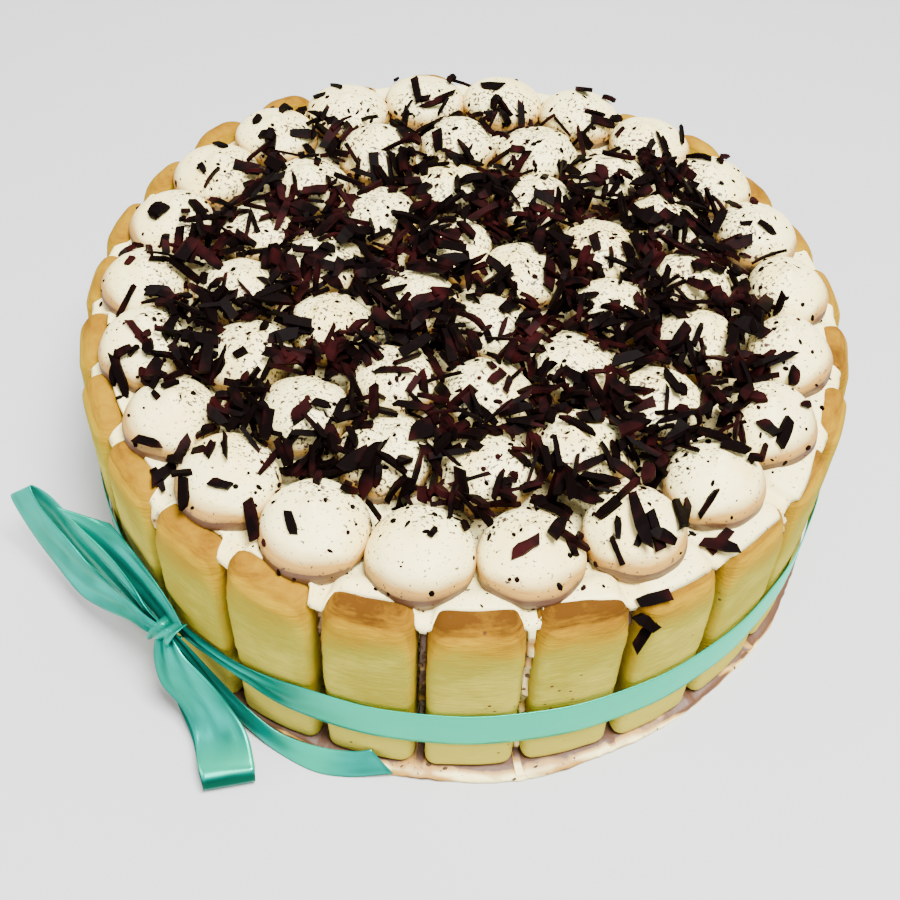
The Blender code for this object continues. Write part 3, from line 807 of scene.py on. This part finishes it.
shaving = {
    "count": 1400,
    "length": (4.4, 10.5),
    "width": (2.0, 4.4),
    "thickness": (0.8, 1.7),
    "steepest": 48.0,
    "highestTip": 87.0,
    "highestCentre": 86.6,
    "short": 0.25,              # share of short flakes
    "slivers": 0.35,
    "intoLow": 0.7,             # share that takes the lowest of three places
    "farthest": 116,
    "creamEdge": 112,
    # how far out the pile reaches, as (angle, radius in mm) all round
    "reach": ((0, 86), (20, 84), (40, 98), (60, 99), (90, 101), (130, 98), (150, 94), (165, 86), (180, 101),
              (205, 104), (232, 97), (250, 88), (264, 92), (281, 95), (297, 93), (313, 88), (330, 108), (345, 98)),
    # domes that stay mostly bare, as (x, y, radius) in mm
    "bare": ((-8, 98, 9), (24, 92, 8), (-92, 28, 8), (90, 34, 9), (-60, 60, 8), (0, 66, 9), (52, 72, 8),
             (40, 21, 11), (-7, 45, 8), (-30, 30, 11), (6, 12, 12), (44, -4, 11), (30, -30, 10), (-3, -44, 8),
             (-38, -18, 9), (-44, -52, 7), (44, 58, 9), (19, 72, 8), (-34, 64, 9), (-57, 44, 8), (-80, 35, 7),
             (-70, -5, 8), (-63, -34, 7), (-20, -68, 6), (6, -72, 8), (35, -64, 6), (56, -44, 7), (69, -20, 7),
             (60, 84, 8), (-35, 92, 8), (-66, 76, 8), (-88, -12, 7)),
    "strays": 70,
    # flakes that lie apart, as (x, y, length, width, turn)
    "apart": ((46.9, -93.2, 15.0, 3.4, -76), (51.1, -95.1, 9.8, 2.8, -72), (48.1, -95.2, 9.0, 2.4, 64),
              (58.3, -87.7, 9.2, 2.6, -79), (60.1, -87.0, 11.0, 2.8, -105), (70.0, -91.7, 9.8, 3.0, -19),
              (70.2, -90.0, 6.9, 3.0, 41), (51.9, -108.4, 8.6, 3.2, 14), (50.7, -111.6, 5.6, 3.0, -19),
              (50.6, -112.4, 5.8, 3.2, 49), (-53.5, -94.9, 9.7, 3.4, -72), (-73.2, -84.1, 5.4, 2.4, 12),
              (-72.2, -88.6, 8.0, 2.8, -83), (-80.3, -78.6, 8.4, 2.8, 51), (-81.6, -80.0, 7.7, 2.6, -58),
              (-85.1, -71.9, 7.6, 3.0, -15), (-98.2, -47.7, 8.5, 3.0, -62), (-100.5, -44.4, 6.0, 2.4, 74),
              (-108.0, 5.1, 7.3, 2.8, -46), (-62.2, -87.9, 5.7, 2.4, -13)),
}


def shavingShapes():
    # a few unit shavings: straight bars, slivers and curled flakes, about one unit long
    group = bpy.data.collections.new("shavingShapes")
    bpy.context.scene.collection.children.link(group)
    rough = random.Random(5)
    for number in range(8):
        curl = (0.0, 0.0, 0.02, 0.05, 0.10, 0.16, 0.0, 0.03)[number]
        stations = 4
        points, faces = [], []
        for station in range(stations):
            along = station / (stations - 1) - 0.5
            rise = curl * (1.0 - 4.0 * along * along)
            ends = station in (0, stations - 1)
            half = 0.5 * rough.uniform(0.55, 1.0) if ends else 0.5 * rough.uniform(0.85, 1.1)
            skew = rough.uniform(-0.12, 0.12) if ends else 0.0
            for side, level in ((-1, -1), (1, -1), (1, 1), (-1, 1)):
                points.append((along + skew * side, side * half * rough.uniform(0.9, 1.08),
                               rise / 0.25 + 0.5 * level * rough.uniform(0.8, 1.1)))
        for station in range(stations - 1):
            for side in range(4):
                low, after = 4 * station, (side + 1) % 4
                faces.append((low + side, low + after, low + 4 + after, low + 4 + side))
        faces += [(3, 2, 1, 0), tuple(4 * stations - 4 + side for side in range(4))]
        shape = newPiece(f"shape{number}", points, faces, chocolate)
        shape.data.shade_flat()
        bpy.context.scene.collection.objects.unlink(shape)
        group.objects.link(shape)
    return group


def pileReach(angle):
    return float(aroundRing(shaving["reach"], angle))


gridStep = 1.0
gridHalf = 128
gridCount = int(2 * gridHalf / gridStep) + 1
gridReach = 126
aboveCake = 120 * mm


def surfaceGrid():
    # heights of the cream and the fingers' tops, in mm, on a square grid
    pieces = [body, inner, *outerDollops, *spongeFingers]
    parts = ((meshPoints(piece), [face.vertices for face in piece.data.polygons]) for piece in pieces)
    tree = BVHTree.FromPolygons(*gathered(parts))
    heights = np.zeros((gridCount, gridCount))
    for row, column in itertools.product(range(gridCount), repeat=2):
        x, y = column * gridStep - gridHalf, row * gridStep - gridHalf
        if x * x + y * y < gridReach ** 2:
            hit = tree.ray_cast(Vector((x * mm, y * mm, aboveCake)), Vector((0, 0, -1)))[0]
            heights[row, column] = hit.z / mm if hit else 0.0
    return heights


def gridCell(x, y):
    cells = ((np.array(value) + gridHalf) / gridStep for value in (y, x))
    return tuple(np.clip(cell.astype(int), 0, gridCount - 1) for cell in cells)


def wanted(x, y):
    # chance that a shaving lies here, and stays
    far, angle = math.hypot(x, y), math.degrees(math.atan2(y, x))
    chance = 1.0 - float(smooth(-7.0, 4.0, far - pileReach(angle)))
    for spotX, spotY, size in shaving["bare"]:
        away = math.hypot(x - spotX, y - spotY) / size
        chance *= 1.0 - 0.93 * math.exp(-away ** 4)
    patch = noise.noise(Vector((x, y, 3.0)) / 15.0)
    chance *= 1.0 - 0.66 * float(smooth(25.0, 75.0, y))
    return chance * min(1.0, max(0.2, 0.8 + 1.1 * patch))


def layShavings(heights):
    pick = random.Random(77)
    bareHeights = heights.copy()
    spots, turns, sizes, shapes = [], [], [], []
    across, along = np.meshgrid(np.linspace(-0.5, 0.5, 3), np.linspace(-0.5, 0.5, 9))
    apart = list(shaving["apart"])
    total = shaving["count"] + shaving["strays"] + len(apart)
    while len(spots) < total:
        placed = apart.pop() if apart else None
        stray = len(spots) >= total - shaving["strays"]
        if placed:
            x, y = placed[:2]
        elif stray:
            angle = pick.uniform(0, 360)
            far = pileReach(angle) + abs(pick.gauss(0, 9))
            x, y = far * math.cos(math.radians(angle)), far * math.sin(math.radians(angle))
            if far > shaving["creamEdge"] * ringAt(angle):
                continue
        else:
            choice = []
            for number in range(3):
                far, angle = shaving["farthest"] * math.sqrt(pick.random()), pick.uniform(0, 2 * math.pi)
                x, y = far * math.cos(angle), far * math.sin(angle)
                choice.append((float(heights[gridCell(x, y)]), x, y))
            low, x, y = min(choice) if pick.random() < shaving["intoLow"] else choice[0]
            onDome = float(smooth(76.0, 82.0, bareHeights[gridCell(x, y)]))
            if pick.random() > wanted(x, y) * (1.0 - 0.3 * onDome):
                continue
        length = pick.uniform(*shaving["length"]) * (0.75 if stray else 1.0)
        width = pick.uniform(*shaving["width"])
        kind = pick.random()
        if kind < shaving["short"]:
            length *= 0.55
        elif kind < shaving["short"] + shaving["slivers"]:
            width *= 0.45
            length *= 1.1
        width = min(width, 0.6 * length)
        thick = pick.uniform(*shaving["thickness"])
        yaw = pick.uniform(0, 2 * math.pi)
        if placed:
            length, width, yaw = placed[2], placed[3], math.radians(placed[4])
        cosine, sine = math.cos(yaw), math.sin(yaw)
        cells = gridCell(x + along * length * cosine - across * width * sine,
                         y + along * length * sine + across * width * cosine)
        under = heights[cells]
        # it rests on the highest place under each half
        rise = under[5:].max() - under[:4].max()
        pitchTurn = math.atan2(rise, 0.55 * length)
        steepest = math.atan2(max(0.5, shaving["highestTip"] - under.max()), 0.5 * length)
        steepest = min(math.radians(shaving["steepest"]), steepest)
        pitchTurn = max(-steepest, min(steepest, pitchTurn + pick.uniform(-0.10, 0.10)))
        roll = math.atan2(under[:, 2].mean() - under[:, 0].mean(), width)
        roll = max(-0.6, min(0.6, roll)) + pick.uniform(-0.15, 0.15)
        slope = math.tan(pitchTurn)
        centre = np.sort((under - along * length * slope).ravel())[-3] + 0.5 * thick - 0.2
        if centre > shaving["highestCentre"] and not placed:
            continue
        np.maximum.at(heights, cells, centre + along * length * slope + 0.4 * thick)
        spots.append((x * mm, y * mm, centre * mm))
        turn = Matrix.Rotation(yaw, 3, "Z") @ Matrix.Rotation(-pitchTurn, 3, "Y") @ Matrix.Rotation(roll, 3, "X")
        turns.append(tuple(turn.to_euler()))
        sizes.append((length / math.cos(pitchTurn), width, thick))
        shapes.append(pick.randrange(8))
    mesh = newMesh("shavingPlaces", spots, [], chocolate)
    for label, values in (("turn", turns), ("size", sizes)):
        layer = mesh.attributes.new(label, "FLOAT_VECTOR", "POINT")
        layer.data.foreach_set("vector", np.array(values, np.float32).ravel())
    mesh.attributes.new("shape", "INT", "POINT").data.foreach_set("value", shapes)
    return addObject("shavingPlaces", mesh)


def makeShavings():
    group = shavingShapes()
    holder = layShavings(surfaceGrid())
    piece = runTree(holder, laidPiecesTree(), "chocolateShavings", Shapes=group, Size=mm, Material=chocolate)
    for thing in [holder, *group.objects]:
        bpy.data.objects.remove(thing, do_unlink=True)
    bpy.data.collections.remove(group)
    return finish(piece, "chocolate", "topping_heap")


shavings = makeShavings()
print("shavings:", len(shavings.data.polygons), "faces")


# Specks of chocolate on the cream, and soaked crumbs in the joints and along the foot

speck = {"density": 40000.0, "smallest": 0.4 * mm, "largest": 2.4 * mm}
crumb = {"density": 120000.0, "smallest": 0.6 * mm, "largest": 2.0 * mm}


def joined(name, pieces):
    # copies of several pieces as one mesh that keeps their attributes
    copies = [addObject(name, piece.data.copy()) for piece in pieces]
    with bpy.context.temp_override(active_object=copies[0], selected_editable_objects=copies, selected_objects=copies):
        bpy.ops.object.join()
    return copies[0]


def sprinkle(name, holder, where, look, material, slot, seed):
    piece = runTree(holder, sprinkledTree(), name, Density=look["density"], Where=where, Smallest=look["smallest"],
                    Largest=look["largest"], Seed=seed, Material=material)
    return finish(piece, slot)


holder = joined("speckSurface", [body, inner, *outerDollops])
specks = sprinkle("chocolateSpecks", holder, "speck", speck, chocolate, "chocolate", 4)
bpy.data.objects.remove(holder, do_unlink=True)
crumbs = sprinkle("soakedCrumbs", body, "crumb", crumb, soakedCrumb, "sponge", 8)
print("specks:", len(specks.data.polygons), "faces, crumbs:", len(crumbs.data.polygons), "faces")


# Satin ribbon: the band, and a bow at the left of the front

ribbon = {
    "width": 15.8 * mm,
    "thickness": 0.25 * mm,
    "bandRadius": 125.7 * mm,
    "bandLevel": 25.2 * mm,
    "bowAngle": 230.6,
    "bowRadius": 130.0 * mm,
    "knotLevel": 26.4 * mm,
    "columns": 13,
}


def bowSpot(along, out, height):
    # a place by the knot: along the cake's edge towards the front, outwards, and up, in mm
    knot = polar(ribbon["bowRadius"], ribbon["bowAngle"])
    return knot + bowWay(along, out, height)


def bowWay(along, out, height):
    forward = polar(1.0, ribbon["bowAngle"] + 90.0)
    return (forward * along + polar(1.0, ribbon["bowAngle"]) * out + Vector((0, 0, height))) * mm


def smoothRows(stations, steps, closed=False):
    # a curve through rows of numbers
    rows = np.array(stations, float)
    if closed:
        rows = np.concatenate([rows[-1:], rows, rows[:2]])
    else:
        rows = np.concatenate([[2 * rows[0] - rows[1]], rows, [2 * rows[-1] - rows[-2]]])
    result = []
    for a, b, c, d in zip(rows, rows[1:], rows[2:], rows[3:]):
        for step in range(steps):
            t = step / steps
            result.append(0.5 * (2 * b + (c - a) * t + (2 * a - 5 * b + 4 * c - d) * t ** 2
                                 + (3 * b - a - 3 * c + d) * t ** 3))
    return np.array(result if closed else [*result, rows[-2]])


def makeStrip(name, stations, steps=8, closed=False):
    # stations are (middle, half width, cupping, pleats, tone) with vectors in metres; the tone
    # goes from -1, a painted shade deep in a fold, to 1, a painted sheen
    rows = smoothRows([(*middle, *half, *rest) for middle, half, *rest in stations], steps, closed)
    middles, halves = rows[:, :3], rows[:, 3:6]
    if closed:
        ways = np.roll(middles, -1, 0) - np.roll(middles, 1, 0)
    else:
        ways = np.gradient(middles, axis=0)
    normals = np.cross(ways, halves)
    normals /= np.linalg.norm(normals, axis=1)[:, None]
    columns = np.linspace(-1, 1, ribbon["columns"])
    length = np.concatenate([[0], np.cumsum(np.linalg.norm(np.diff(middles, axis=0), axis=1))])
    cup, pleat, tone = rows[:, 6:9].T[:, :, None]
    wave = pleat * np.sin(7.0 * columns + 1.3 + 9.0 * length[:, None] / 0.07)
    lift = cup * (1.0 - columns * columns) + wave
    grid = middles[:, None] + halves[:, None] * columns[:, None] + normals[:, None] * lift[:, :, None]
    wide = len(columns)
    clothLength = float(np.linalg.norm(np.diff(grid[:, wide // 2], axis=0), axis=1).sum())
    faces, corners = [], []
    for row in range(len(rows) if closed else len(rows) - 1):
        after = (row + 1) % len(rows)
        start, end = length[row], length[row] + np.linalg.norm(middles[after] - middles[row])
        for column in range(wide - 1):
            low, high = row * wide + column, after * wide + column
            faces.append((low, low + 1, high + 1, high))
            sides = 0.5 + 0.5 * columns[column:column + 2]
            corners += [(start, sides[0]), (start, sides[1]), (end, sides[1]), (end, sides[0])]
    mesh = newMesh(name, grid.reshape(-1, 3), faces, satin)
    mesh.uv_layers.new(name="alongRibbon").data.foreach_set("uv", np.array(corners, np.float32).ravel())
    # painted shade in folds and pleat troughs, painted sheen where the tone is above zero
    setValues(mesh, fold=np.clip(-tone - wave / (0.8 * mm), 0.0, 1.0).ravel(),
              faded=np.maximum(0.0, tone + 0.0 * wave).ravel())
    mesh.shade_smooth()
    piece = addObject(name, mesh)
    solid = piece.modifiers.new("thickness", "SOLIDIFY")
    solid.thickness = ribbon["thickness"]
    solid.offset = 0.0
    return piece, clothLength


def makeBand():
    stations = []
    count = 2 * fingerCount
    for step in range(count):
        angle = step * 360.0 / count
        away = (angle - ribbon["bowAngle"] + 180.0) % 360.0 - 180.0
        gather = math.exp(-(away / 15.0) ** 4)
        level = ribbon["bandLevel"] + 0.3 * mm * math.sin(math.radians(3 * angle + 40))
        radius = ribbon["bandRadius"] - (0.2 * mm if step % 2 == 0 else 0.0) + 0.5 * mm * gather
        half = Vector((0, 0, 0.5 * ribbon["width"] * (1.0 - 0.62 * gather))) - polar(0.2 * mm, angle)
        # painted light and shade: a painted sheen away from the bow, and painted shade where the band gathers at the
        # knot
        tone = float(smooth(14.0, 30.0, away)) * 0.9 - 0.75 * gather
        middle = Vector(fitToRing([polar(radius, angle, level)])[0])
        stations.append((middle, half, 0.1 * mm, 0.6 * mm * gather, tone))
    return makeStrip("ribbonBand", stations, 6, closed=True)


def makeKnot():
    # a short length wrapped over the bow's middle, its ends tucked in behind
    path = ((-3.0, 6.0), (0.6, 6.2), (2.4, 4.2), (3.2, 1.4), (3.2, -1.4), (2.4, -4.2), (0.6, -6.2), (-3.0, -6.0))
    stations = []
    for out, up in path:
        middle = bowSpot(0.35 * up, out, ribbon["knotLevel"] / mm + up)
        stations.append((middle, bowWay(4.4, -0.6, 1.6), -0.9 * mm, 0.45 * mm, 0.1))
    return makeStrip("ribbonKnot", stations, 8)


def bowStrip(name, places, steps=8):
    stations = [(bowSpot(*middle), bowWay(*half), cup * mm, pleat * mm, tone)
                for middle, half, cup, pleat, tone in places]
    return makeStrip(name, stations, steps)


# each station: middle, half width, cupping, pleating and tone, in mm and in the bow's own directions; a tone below
# zero is painted shade, one above zero a painted sheen
leftLoop = (
    ((0, 1.6, 27.2), (0, -0.3, 3.8), 0, 0.5, -0.2),
    ((-6.8, 2.7, 27.6), (0, -0.5, 4.4), 0.2, 0.6, 0),
    ((-14.5, 2.7, 26.4), (0.5, -1, 5), 0.3, 0.5, 0.1),
    ((-26, 3.2, 23.4), (1, -1.7, 6.5), 0.4, 0.3, 0),
    ((-36.5, 3.3, 21), (1.5, -2.2, 7.5), 0.4, 0.2, -0.1),
    ((-49.5, 2.3, 21.8), (1.5, -2.2, 7.7), 0.3, 0.2, 0),
    ((-61.5, 1.2, 24), (2.6, -1.8, 7.7), 0.2, 0.1, 0.1),
    ((-72, -0.9, 28.6), (5.4, -1.5, 6), 0, 0, 0),
    ((-69, -2.6, 29.2), (4.8, -1, 6.3), 0, 0, 0.1),
    ((-58, -3, 29.4), (2.4, -1, 7.4), 0, 0.1, 0.2),
    ((-44, -2, 29), (1.8, -1, 7.8), 0, 0.2, 0.3),
    ((-30, -1.4, 29.6), (1.6, -0.8, 7.8), 0, 0.3, 0.2),
    ((-16, -0.6, 29.6), (1, -0.4, 6.4), 0, 0.4, 0),
    ((-6.8, 0.2, 28.6), (0, 0, 4.4), 0, 0.4, -0.3),
    ((0, 0.2, 27.6), (0, 0, 3.8), 0, 0.3, -0.4),
)
rightLoop = (
    ((0, 1, 27), (2.8, -0.8, 2), 0, 0.4, -0.3),
    ((5.2, 3.6, 23.6), (4.4, -2.4, 2), 0.2, 0.5, 0.1),
    ((12, 4.6, 17.6), (6.2, -4.2, 2), 0.5, 0.4, 0.2),
    ((19, 4.3, 11.8), (6, -4.4, 1.8), 0.6, 0.35, 0.1),
    ((27, 6, 7.8), (6, -5.2, 1.2), 0.4, 0.15, 0),
    ((34.6, 10.6, 6.8), (5.6, -5.8, 0.2), 0.2, 0, 0.9),
    ((36.9, 12, 6.6), (5, -5.9, 0.1), 0, 0, 0.5),
    ((38, 12.8, 5.6), (4.6, -6, 0), 0, 0, -0.9),
    ((38.7, 13.4, 3.2), (4.4, -6, 0), 0, 0, -1.1),
    ((37.6, 12.9, 1), (4.4, -5.9, 0), 0, 0, -1.1),
    ((34, 11.2, 1.1), (4.6, -5.8, 0), 0, 0, -0.6),
    ((25, 6.6, 3), (5, -4.8, 0.6), 0, 0.2, -0.6),
    ((15, 4.4, 8.6), (4.2, -3.6, 1.4), 0, 0.3, -0.7),
    ((6, 3.6, 16.6), (3, -2, 1.8), 0, 0.4, -0.8),
)
leftTail = (
    ((1, -1.6, 28.6), (4, -0.8, 3.8), 0, 0.5, -0.4),
    ((-5.4, -2.6, 31.6), (5.2, -1.2, 4.8), 0.2, 0.5, -0.1),
    ((-13.4, -3.3, 35.4), (5.4, -1.8, 5.4), 0.3, 0.4, 0.1),
    ((-23.4, -4.1, 37.8), (5, -2.2, 5.8), 0.4, 0.2, 0),
    ((-34.6, -5.1, 38.4), (7, -2.4, 4.4), 0.3, 0.1, 0.2),
    ((-42.7, -5.4, 39.5), (9.7, -3.2, 1.5), 0.2, 0, 0.4),
)


def makeRightTail():
    # down from the knot and along the foot, as (angle, low radius, low height, high radius, high height, tone); the
    # tone is painted shade below zero and painted sheen above
    edges = (
        (231.4, 130.6, 24.6, 129, 30.2, -0.8),
        (233.6, 130.4, 20.4, 128.4, 26, -0.8),
        (237.6, 130, 11, 127.9, 17.4, -0.7),
        (243, 130.9, 3.4, 128.4, 9.6, -0.5),
        (248, 132.6, 0.7, 129.3, 6.2, 0.3),
        (253.5, 134, 0.5, 128.9, 6.4, 0.8),
        (258, 132.6, 0.6, 127.7, 7.4, 0),
    )
    stations = []
    for number, (angle, lowRadius, lowHeight, highRadius, highHeight, tone) in enumerate(edges):
        low = polar(lowRadius * mm, angle, lowHeight * mm)
        high = polar(highRadius * mm, angle, highHeight * mm)
        pleat = 0.5 * mm * max(0.0, 1.0 - number / 3.0)
        stations.append((0.5 * (low + high), 0.5 * (high - low), 0.3 * mm, pleat, tone))
    low = polar(129.6 * mm, 263.6, 2.4 * mm)
    high = polar(126.6 * mm, 260.4, 9.0 * mm)
    stations.append((0.5 * (low + high), 0.5 * (high - low), 0.2 * mm, 0.0, -0.1))
    return makeStrip("ribbonTailRight", stations)


def makeRibbon():
    knot, knotLength = makeKnot()
    band, bandLength = makeBand()
    strips = (
        (band, bandLength, 1.0, "stretched", "ribbon_band", ["spongeFinger20", "spongeFinger06"]),
        (knot, knotLength, 0.6, "folded", "ribbon_knot", ["ribbonBand"]),
        (*bowStrip("ribbonLoopLeft", leftLoop), 0.85, "folded", "ribbon_loop_left", ["ribbonKnot"]),
        (*bowStrip("ribbonLoopRight", rightLoop), 0.8, "folded", "ribbon_loop_right", ["ribbonKnot"]),
        (*bowStrip("ribbonTailLeft", leftTail), 0.85, "laid", "ribbon_tail_left", ["ribbonKnot", "spongeFinger17"]),
        (*makeRightTail(), 0.6, "laid", "ribbon_tail_right", ["ribbonKnot"]),
    )
    for piece, length, spread, held, node, support in strips:
        finish(piece, "satin", node)
    return [strip[0] for strip in strips]


ribbonPieces = makeRibbon()
print("ribbon:", len(ribbonPieces), "strips")


# Floor, lights and camera

def makeFloor():
    material = startMaterial("paleFloor", {"Roughness": 0.7, "Base Color": (0.52, 0.53, 0.54, 1.0)})[0]
    corners = [(-3, -3, 0), (3, -3, 0), (3, 3, 0), (-3, 3, 0)]
    addObject("floor", newMesh("floor", corners, [(0, 1, 2, 3)], material))


lights = {
    # name: place, size, power, colour
    "key": ((0.22, -0.24, 1.00), 0.40, 46.0, (1.0, 0.985, 0.96)),
    "fill": ((-0.45, -0.85, 0.45), 0.9, 4.0, (0.97, 0.99, 1.0)),
    "back": ((-0.15, 0.75, 0.75), 0.6, 5.0, (1.0, 1.0, 1.0)),
    "left": ((-0.95, -0.20, 0.55), 0.25, 4.5, (1.0, 0.99, 0.97)),
}


def makeLights():
    for name, (place, size, power, colour) in lights.items():
        light = bpy.data.lights.new(name, "AREA")
        light.size, light.energy, light.color = size, power, colour
        lamp = addObject(name, light)
        lamp.location = place
        lamp.rotation_euler = (Vector((0, 0, 0.04)) - Vector(place)).to_track_quat("-Z", "Y").to_euler()
    world = bpy.data.worlds.new("studio")
    world.use_nodes = True
    for label, value in (("Color", (0.92, 0.95, 1.0, 1.0)), ("Strength", 0.5)):
        world.node_tree.nodes["Background"].inputs[label].default_value = value
    bpy.context.scene.world = world


view = {
    "distance": 0.433,
    "elevation": 50.2,
    "pan": 0.5,
    "tilt": -0.4,
    "roll": -3.1,
    "lens": 48.0,
}


def makeCamera():
    rise = math.radians(view["elevation"])
    place = Vector((0, -view["distance"] * math.cos(rise), view["distance"] * math.sin(rise)))
    right, ahead = Vector((1, 0, 0)), -place.normalized()
    axes = [right, right.cross(ahead), ahead]
    for name, axis in (("pan", 1), ("tilt", 0), ("roll", 2)):
        turn = Matrix.Rotation(math.radians(view[name]), 3, axes[axis])
        axes = [turn @ way for way in axes]
    camera = addObject("camera", bpy.data.cameras.new("camera"))
    camera.data.sensor_width = 36.0
    camera.data.lens = view["lens"]
    camera.data.clip_start = 0.01
    camera.matrix_world = Matrix.Translation(place) @ Matrix((*axes[:2], -axes[2])).transposed().to_4x4()
    bpy.context.scene.camera = camera


makeFloor()
makeLights()
makeCamera()
print("floor, lights and camera ready")
